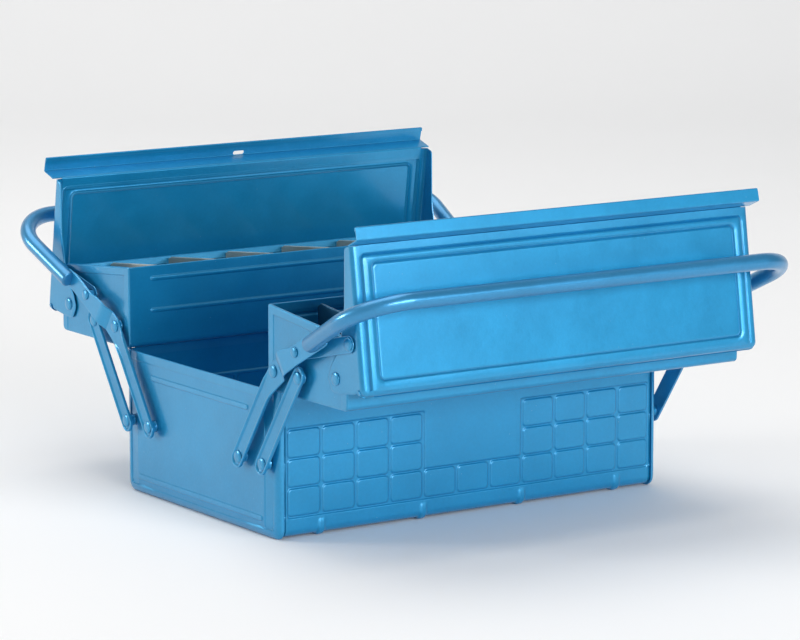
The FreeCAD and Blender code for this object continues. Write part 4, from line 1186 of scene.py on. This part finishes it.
def strip(side):
    t = 0.8
    c, sn = math.cos(STRIP_TILT), math.sin(STRIP_TILT)
    my = STRIP_MID[0] + c * STRIP_DIFF * side
    mz = STRIP_MID[1] + sn * STRIP_DIFF * side

    def q(u, w):
        return np.array((my - sn * u + c * w, mz + c * u + sn * w))
    # the front one stays just clear of the rear one that shuts over it
    up, low = STRIP_UP[side] - (0.3 if side < 0 else 0.0), STRIP_LOW[side]
    # from the free hem edge inside, over the top, down the outside, and in to the lid
    j0 = lp(LL - 9.0, -t - 0.02)
    pts = [q(up - 3.2, -1.55), q(up, -1.55), q(up, 0.0), q(-low - 0.45, 0.0), lp(LL + 0.6, 0.9), lp(LL + 0.1, -t - 0.02), j0]
    raw = fillet(pts, [0, 0.75, 0.75, 1.3, 0.9, 0.7, 0], closed=False, deg=12)
    sec = densify(raw, 2.2, False)
    # outside is on the right-hand side when the outer wall is walked upwards: reverse
    sec = sec[::-1]
    # the part that lies behind the lid is shorter than the strip
    w_of = (sec - LID_B[None]) @ LN
    u_of = (sec - LID_B[None]) @ LD
    lapped = np.where((w_of < -0.4) & (u_of < LL + 1.5), 8.5, 0.0)
    xl = list(np.linspace(-165, 165, 34))
    for s in (1, -1):
        xl += [s * v for v in (170, 173, 175, 176.5, 177.6, 178.4, 179.1, 179.7, 180.2, 180.6, 180.9, 181.0)]
    xl = merge_lines(xl, tol=0.05)

    def disp(X, Y, Z, NY, NZ):
        D = np.zeros(X.shape + (3,))
        u = -(Y - my) * sn + (Z - mz) * c
        dtop = up - u
        e = 1.3
        cut = np.where(dtop < e, e - np.sqrt(np.clip(e * e - (e - dtop) ** 2, 0, None)), 0.0)
        # the lap on the lid is shorter than the strip
        D[..., 0] = -np.sign(X) * (cut * S((np.abs(X) - 172.0) / 9.0) + lapped[None, :] * S((np.abs(X) - 165.0) / 16.0))
        return D
    V, F = sweep(sec, xl, disp)
    cutter = None
    if side > 0:
        a = q(SLOT_AT, 0.0)
        loop = stadium((-SLOT_L / 2 + SLOT_H / 2, 0), (SLOT_L / 2 - SLOT_H / 2, 0), 0, SLOT_H, deg=15)
        n = len(loop)
        rows = []
        for wv in (-5.0, 4.0):
            rows += [(p[0], *(q(SLOT_AT + p[1], wv))) for p in loop]
        rows = np.array(rows)
        rows[:, 2] += FOOT
        me = bpy.data.meshes.new("slot")
        f = [(i, (i + 1) % n, n + (i + 1) % n, n + i) for i in range(n)] + [tuple(range(n))[::-1], tuple(range(n, 2 * n))]
        me.from_pydata((rows * 0.001).tolist(), [], [k_[::-1] for k_ in f])
        me.update()
        cutter = bpy.data.objects.new("slot", me)
        bpy.context.scene.collection.objects.link(cutter)
    o = make("strip", V, F, thick=0.72, sharp=45, cutter=cutter)
    if cutter is not None:
        bpy.data.objects.remove(cutter)
    return o


for sy in (1, -1):
    o = strip(sy)
    c = mirrored(o, SIDE[sy] + "_lid_strip", 1, sy)
    bpy.data.objects.remove(o)
    place(c, SIDE[sy] + "_lid", SIDE[sy] + "_lid_edge_strip", M_LID)

rv = [rivet(PQ, EAR_IN + 0.6, None, LINK_OUT + 0.06, HEAD_R, HEAD_H, PIN_R, PIN_R + 0.4, 0.5,
            collar=(LID_HX + 0.03, LINK_IN - 0.06, HEAD_R - 0.6))]
for sy in (1, -1):
    V, F = mirror_parts(rv, sides=(sy,))
    place(make(SIDE[sy] + "_lid_pins", V, F, sharp=35), SIDE[sy] + "_lid", SIDE[sy] + "_lid_rivets", M_RIVET)


# ------------------------------------------------------------------ links
def link():
    dq = np.array(PP) - np.array(PQ)
    l = float(np.linalg.norm(dq))
    dq = dq / l
    pe = np.array(PQ) + dq * (l - 0.5)
    outline = densify(stadium(PQ, pe, 0.0, LINK_W, deg=9), 5.0)
    a = np.array(PQ) + dq * (l - 4.95)
    b = np.array(PQ) + dq * (l + 0.15)
    slot_ = stadium(a, b, 0.0, 2 * 3.15, deg=12)
    hole = circle(PQ, PIN_R + 0.06, 36)
    rings = [offset(outline, d) for d in (0.1, 0.25, 0.45, 0.7)] + [offset(outline, d) for d in (2.2, 2.6, 3.0)]
    P, T = flat_mesh(outline, holes=[slot_, hole], loops=rings)
    d = dist_to(P, outline)
    r = 0.55
    h = -(r - np.sqrt(np.clip(r * r - np.clip(r - d, 0, r) ** 2, 0, None)))
    V = np.c_[LINK_OUT + h, P]
    return make("link", V, T, thick=1.0, bevel=0.15, sharp=45)


lk = link()
pair(lk, ALL4, lambda sy, sx: SIDE[sy] + "_lid_link_" + END[sx], lambda sy, sx: SIDE[sy] + "_links", M_ARM,
     lambda sy, sx: SIDE[sy] + "_link_" + END[sx])


# ------------------------------------------------------------------ arms
def lipped(outline, x_back, x_lip, lip_of, x_of, r=0.75, holes=(), spots=()):
    """pressed bar: a raised rim round its edge, standing away from the box, with a flat bed inside it"""
    land, slope = 0.55, 1.3
    ds = [r * (1 - math.cos(math.radians(a))) for a in (25, 45, 62, 77, 90)]
    ds += [r + land, r + land + 0.3 * slope, r + land + 0.6 * slope, r + land + slope, r + land + slope + 0.5]
    rings = [offset(outline, d) for d in ds]
    P, T = flat_mesh(outline, holes=holes, loops=rings)
    d = dist_to(P, outline)
    a = lip_of(P)
    top = x_lip - x_back
    low = 1.0
    dd = np.clip(r - d, 0, r)
    edge = -(r - np.sqrt(np.clip(r * r - dd * dd, 0, None)))
    rim = low + (top - low) * (1 - S((d - r - land) / slope)) * a
    x = x_back + x_of(P) + rim + edge
    for c, rr in spots:
        q = np.hypot(P[:, 0] - c[0], P[:, 1] - c[1])
        x = x - 0.12 * np.exp(-((q - rr) / 0.8) ** 2)
    V1 = np.c_[x, P]
    k = len(outline)
    xo = x_back + x_of(outline)
    ho = low + (top - low) * lip_of(outline) - r
    rows = [np.c_[xo + np.maximum(ho, 0.0) * f, outline] for f in (1.0, 0.5, 0.0)]
    G = np.array(rows)
    F2 = []
    for i in range(2):
        for j in range(k):
            j1 = (j + 1) % k
            F2.append((i * k + j, i * k + j1, (i + 1) * k + j1, (i + 1) * k + j))
    # flat back of the bar
    P3, T3 = flat_mesh(outline, holes=holes)
    V3 = np.c_[x_back + x_of(P3), P3]
    return join([(V1, T), (G.reshape(-1, 3), [f[::-1] for f in F2]), (V3, T3[:, ::-1])])


def support_arm():
    outline = densify(stadium(B0, B1, ARM_OVER, ARM_W, deg=9), 4.0)
    one_ = lambda P: np.ones(len(P))
    zero = lambda P: np.zeros(len(P))
    V, F = lipped(outline, ARM_WEB_IN, ARM_LIP, one_, zero, spots=((B0, 5.8), (B1, 5.8)))
    return make("support_arm", V, F, sharp=50)


ARM_OUTLINE = [(191.5, 165.6), (177.8, 165.5), (169.5, 163.1), (158.6, 158.1), (144.9, 150.6), (137.5, 149.2),
               (128.5, 146.0), (119.0, 138.6)]


def handle_arm():
    a0, a1 = np.array(A0), np.array(A1)
    d = (a1 - a0) / np.linalg.norm(a1 - a0)
    n = np.array((-d[1], d[0]))                 # to the inner side of the arm
    h = ARM_W / 2
    end = a0 - d * ARM_OVER
    pts = list(ARM_OUTLINE) + [tuple(a1 + n * h + d * 3.0), tuple(a1 + n * h - d * 12.0)]
    rads = [1.5, 5, 8, 14, 10, 6, 6, 8, 9, 30]
    # round lower end
    low = []
    k = 20
    for j in range(k + 1):
        t = math.pi * j / k
        low.append(tuple(end + n * h * math.cos(t) - d * h * math.sin(t)))
    pts += low
    rads += [0] * len(low)
    pts += [tuple(a0 - n * h + d * 66.0), (118.9, 115.4), (130.0, 123.4), (139.0, 130.4), (153.0, 138.4), (164.0, 144.0),
            (190.0, 157.3), (194.5, 160.2)]
    rads += [30, 10, 10, 8, 10, 6, 4, 1.5]
    outline = densify(fillet(pts, rads, deg=9), 4.0)
    ja = math.radians(34.0)
    js = np.array((math.cos(ja), math.sin(ja)))

    def x_of(P):
        s = (P - a1[None]) @ js
        return (PLATE_IN - ARM_WEB_IN) * S((s - 8.6) / 9.6)

    def lip_of(P):
        s = (P - a0[None]) @ d
        off = (P - a0[None]) @ n
        lim = np.where(off > 0, 82.0, 78.0)
        return 1 - S((s - lim + 10) / 10.0)
    V, F = lipped(outline, ARM_WEB_IN, ARM_LIP, lip_of, x_of, spots=((A0, 6.0), (A1, 6.0)))
    return make("handle_arm", V, F, sharp=50)


sa = support_arm()
pair(sa, ALL4, lambda sy, sx: SIDE[sy] + "_support_arm_" + END[sx], lambda sy, sx: SIDE[sy] + "_supports", M_ARM,
     lambda sy, sx: SIDE[sy] + "_support_bar_" + END[sx])
ha = handle_arm()
pair(ha, ALL4, lambda sy, sx: SIDE[sy] + "_handle_arm_" + END[sx], lambda sy, sx: SIDE[sy] + "_handle", M_ARM,
     lambda sy, sx: SIDE[sy] + "_handle_plate_" + END[sx])


# ------------------------------------------------------------------ handle tube
def tube():
    d = (LEG1 - LEG0) / np.linalg.norm(LEG1 - LEG0)
    start = LEG0 + d * 17.0
    c1 = LEG1
    c2 = LEG1 * np.array((-1, 1, 1))
    a = (start - c1) / np.linalg.norm(start - c1)
    b = (c2 - c1) / np.linalg.norm(c2 - c1)
    ang = math.acos(float(a @ b))
    dd = BEND_R / math.tan(ang / 2)
    m = (a + b) / np.linalg.norm(a + b)
    cen = c1 + m * (BEND_R / math.sin(ang / 2))
    p0, p1 = c1 + a * dd, c1 + b * dd
    path = []
    L0 = np.linalg.norm(p0 - start)
    for f in np.linspace(0, 1, 10)[:-1]:
        path.append(start + (p0 - start) * f)
    v0, v1 = p0 - cen, p1 - cen
    u0 = v0 / BEND_R
    w0 = v1 - u0 * (v1 @ u0)
    w0 /= np.linalg.norm(w0)
    tot = math.acos(max(-1, min(1, float(v0 @ v1) / BEND_R ** 2)))
    k = 26
    for j in range(k + 1):
        t = tot * j / k
        path.append(cen + BEND_R * (u0 * math.cos(t) + w0 * math.sin(t)))
    half = path[:]
    xm = list(np.linspace(p1[0], -p1[0], 40))[1:-1]
    path += [np.array((x, p1[1], p1[2])) for x in xm]
    path += [p * np.array((-1, 1, 1)) for p in half[::-1]]
    path = np.array(path)
    T = np.gradient(path, axis=0)
    T = unit(T)
    n = 36
    # a fixed frame: one axis follows the plane of the bends
    pl = np.cross(a, b)
    pl /= np.linalg.norm(pl)
    rows = []
    end_prof = [(0.0, -1.8), (0.25, -1.76), (0.5, -1.62), (0.72, -1.32), (0.88, -0.9), (0.97, -0.4)]
    m_ = len(path)
    # the left half lies in the mirrored plane
    pl2 = pl * np.array((1, -1, -1))
    for i, p in enumerate(path):
        f = i / (m_ - 1)
        t = T[i]
        ref = pl if f < 0.5 else -pl * np.array((-1, 1, 1))
        if i == 0:
            base = ref
        # smooth change in the middle of the grip, where the bar is straight
        s = S((f - 0.42) / 0.16)
        ref = unit(pl * (1 - s) + (pl * np.array((-1, 1, 1))) * s * (-1 if (pl * np.array((-1, 1, 1))) @ pl < 0 else 1))
        u = ref - t * (ref @ t)
        u /= np.linalg.norm(u)
        v = np.cross(t, u)
        # round section of the same radius all along
        rr = TUBE_R
        ring = [p + rr * (u * math.cos(2 * math.pi * j / n) + v * math.sin(2 * math.pi * j / n)) for j in range(n)]
        rows.append(np.array(ring))
        if i == 0:
            u_s, v_s, t_s = u, v, t
        if i == m_ - 1:
            u_e, v_e, t_e = u, v, t
    first, last = [], []
    for (q, x) in end_prof:
        if q == 0.0:
            continue
        first.append(np.array([path[0] + t_s * x + TUBE_R * q * (u_s * math.cos(2 * math.pi * j / n) + v_s * math.sin(2 * math.pi * j / n)) for j in range(n)]))
        last.append(np.array([path[-1] - t_e * x + TUBE_R * q * (u_e * math.cos(2 * math.pi * j / n) + v_e * math.sin(2 * math.pi * j / n)) for j in range(n)]))
    rings = first + rows + last[::-1]
    G = np.array(rings)
    mm = len(rings)
    V = G.reshape(-1, 3)
    F = [tuple(f) for f in grid_faces(mm, n, close_n=True)]
    tip0, tip1 = len(V), len(V) + 1
    V = np.concatenate([V, [path[0] + t_s * -1.8], [path[-1] + t_e * 1.8]])
    for j in range(n):
        F.append((tip0, (j + 1) % n, j))
        F.append((tip1, (mm - 1) * n + j, (mm - 1) * n + (j + 1) % n))
    # one closed surface with rounded caps at both ends; no bore is drawn
    return make("tube", V, [f[::-1] for f in F], sharp=50)


tb = tube()
pair(tb, [(1, 1), (-1, 1)], lambda sy, sx: SIDE[sy] + "_handle_tube", lambda sy, sx: SIDE[sy] + "_handle", M_TUBE,
     lambda sy, sx: SIDE[sy] + "_grip_tube")

rv = [rivet(PP, LINK_IN + 0.3, None, PLATE_OUT + 0.02, HEAD_R - 0.8, HEAD_H, 2.0, 2.4, 0.4,
            collar=(LINK_OUT + 0.1, PLATE_IN - 0.03, 3.4))]
for sy in (1, -1):
    V, F = mirror_parts(rv, sides=(sy,))
    place(make(SIDE[sy] + "_handle_pins", V, F, sharp=35), SIDE[sy] + "_handle", SIDE[sy] + "_handle_rivets", M_RIVET)


# ------------------------------------------------------------------ floor, light, camera
def backdrop():
    prof = []
    r = 1.6
    y1 = 2.4
    for y in np.linspace(-5.0, y1, 24):
        prof.append((y, 0.0))
    for a in np.radians(np.arange(5, 91, 5)):
        prof.append((y1 + r * math.sin(a), r * (1 - math.cos(a))))
    prof.append((y1 + r, 3.5))
    xs = np.linspace(-6.0, 6.0, 9)
    V = [(x, y, z) for x in xs for (y, z) in prof]
    n = len(prof)
    F = [(i * n + j, (i + 1) * n + j, (i + 1) * n + j + 1, i * n + j + 1) for i in range(len(xs) - 1) for j in range(n - 1)]
    me = bpy.data.meshes.new("floor")
    me.from_pydata(V, [], F)
    me.shade_smooth()
    o = bpy.data.objects.new("floor", me)
    o.rotation_euler = (0, 0, -math.radians(34.0))
    bpy.context.scene.collection.objects.link(o)
    m = bpy.data.materials.new("paper")
    m.use_nodes = True
    nt = m.node_tree
    b = nt.nodes["Principled BSDF"]
    b.inputs["Roughness"].default_value = 0.72
    b.inputs["Specular IOR Level"].default_value = 0.25
    tc = nt.nodes.new("ShaderNodeTexCoord")
    n1 = nt.nodes.new("ShaderNodeTexNoise")
    n1.inputs["Scale"].default_value = 2.5
    n1.inputs["Detail"].default_value = 3.0
    nt.links.new(tc.outputs["Object"], n1.inputs["Vector"])
    rp = nt.nodes.new("ShaderNodeValToRGB")
    rp.color_ramp.elements[0].color = (0.90, 0.893, 0.89, 1)
    rp.color_ramp.elements[1].color = (0.918, 0.912, 0.909, 1)
    nt.links.new(n1.outputs[0], rp.inputs[0])
    nt.links.new(rp.outputs[0], b.inputs["Base Color"])
    me.materials.append(m)
    return o


backdrop()


def area(name, loc, target, size, energy, color=(1, 1, 1), size_y=None):
    l = bpy.data.lights.new(name, "AREA")
    l.energy = energy
    l.color = color
    l.shape = "RECTANGLE"
    l.size = size
    l.size_y = size_y or size
    o = bpy.data.objects.new(name, l)
    o.location = loc
    d = Vector(target) - Vector(loc)
    o.rotation_euler = d.to_track_quat("-Z", "Y").to_euler()
    bpy.context.scene.collection.objects.link(o)
    return o


area("front", (0.12, -3.3, 0.95), (0, 0, 0.14), 3.0, 80.0, (0.985, 0.99, 1.0), 0.8)
area("window", (-2.5, 1.9, 0.95), (0, 0, 0.12), 0.8, 32.5, (1.0, 0.965, 0.905), 0.7)
area("top", (-0.2, 0.9, 3.2), (0, 0.7, 0.0), 3.0, 52.0, (1, 1, 1), 3.0)

w = bpy.data.worlds.new("studio")
bpy.context.scene.world = w
w.use_nodes = True
nt = w.node_tree
nt.nodes.clear()
wo = nt.nodes.new("ShaderNodeOutputWorld")
bg = nt.nodes.new("ShaderNodeBackground")
# the room is darker to the right
wt = nt.nodes.new("ShaderNodeTexCoord")
ws = nt.nodes.new("ShaderNodeSeparateXYZ")
wr = nt.nodes.new("ShaderNodeValToRGB")
wm = nt.nodes.new("ShaderNodeMapRange")
wm.inputs[1].default_value = -1.0
wm.inputs[2].default_value = 1.0
nt.links.new(wt.outputs["Generated"], ws.inputs[0])
nt.links.new(ws.outputs[0], wm.inputs[0])
nt.links.new(wm.outputs[0], wr.inputs[0])
wr.color_ramp.elements[0].position = 0.35
wr.color_ramp.elements[0].color = (0.965, 0.985, 1.0, 1)
wr.color_ramp.elements[1].position = 0.95
wr.color_ramp.elements[1].color = (0.42, 0.45, 0.48, 1)
nt.links.new(wr.outputs[0], bg.inputs["Color"])
bg.inputs["Strength"].default_value = 0.54
nt.links.new(bg.outputs[0], wo.inputs[0])

cd = bpy.data.cameras.new("camera")
cam = bpy.data.objects.new("camera", cd)
cd.sensor_fit = "HORIZONTAL"
cd.sensor_width = 36.0
cd.lens = 170.473
cd.clip_start, cd.clip_end = 0.05, 50.0
psi, pitch = math.radians(34.04097), math.radians(9.78767)
fwd = Vector((math.sin(psi) * math.cos(pitch), math.cos(psi) * math.cos(pitch), -math.sin(pitch)))
cam.location = (-1.62129, -2.41089, 0.63328 + FOOT * 0.001)
cam.rotation_euler = fwd.to_track_quat("-Z", "Y").to_euler()
bpy.context.scene.collection.objects.link(cam)
bpy.context.scene.camera = cam
bpy.context.scene.view_settings.view_transform = "Standard"
bpy.context.scene.view_settings.look = "None"
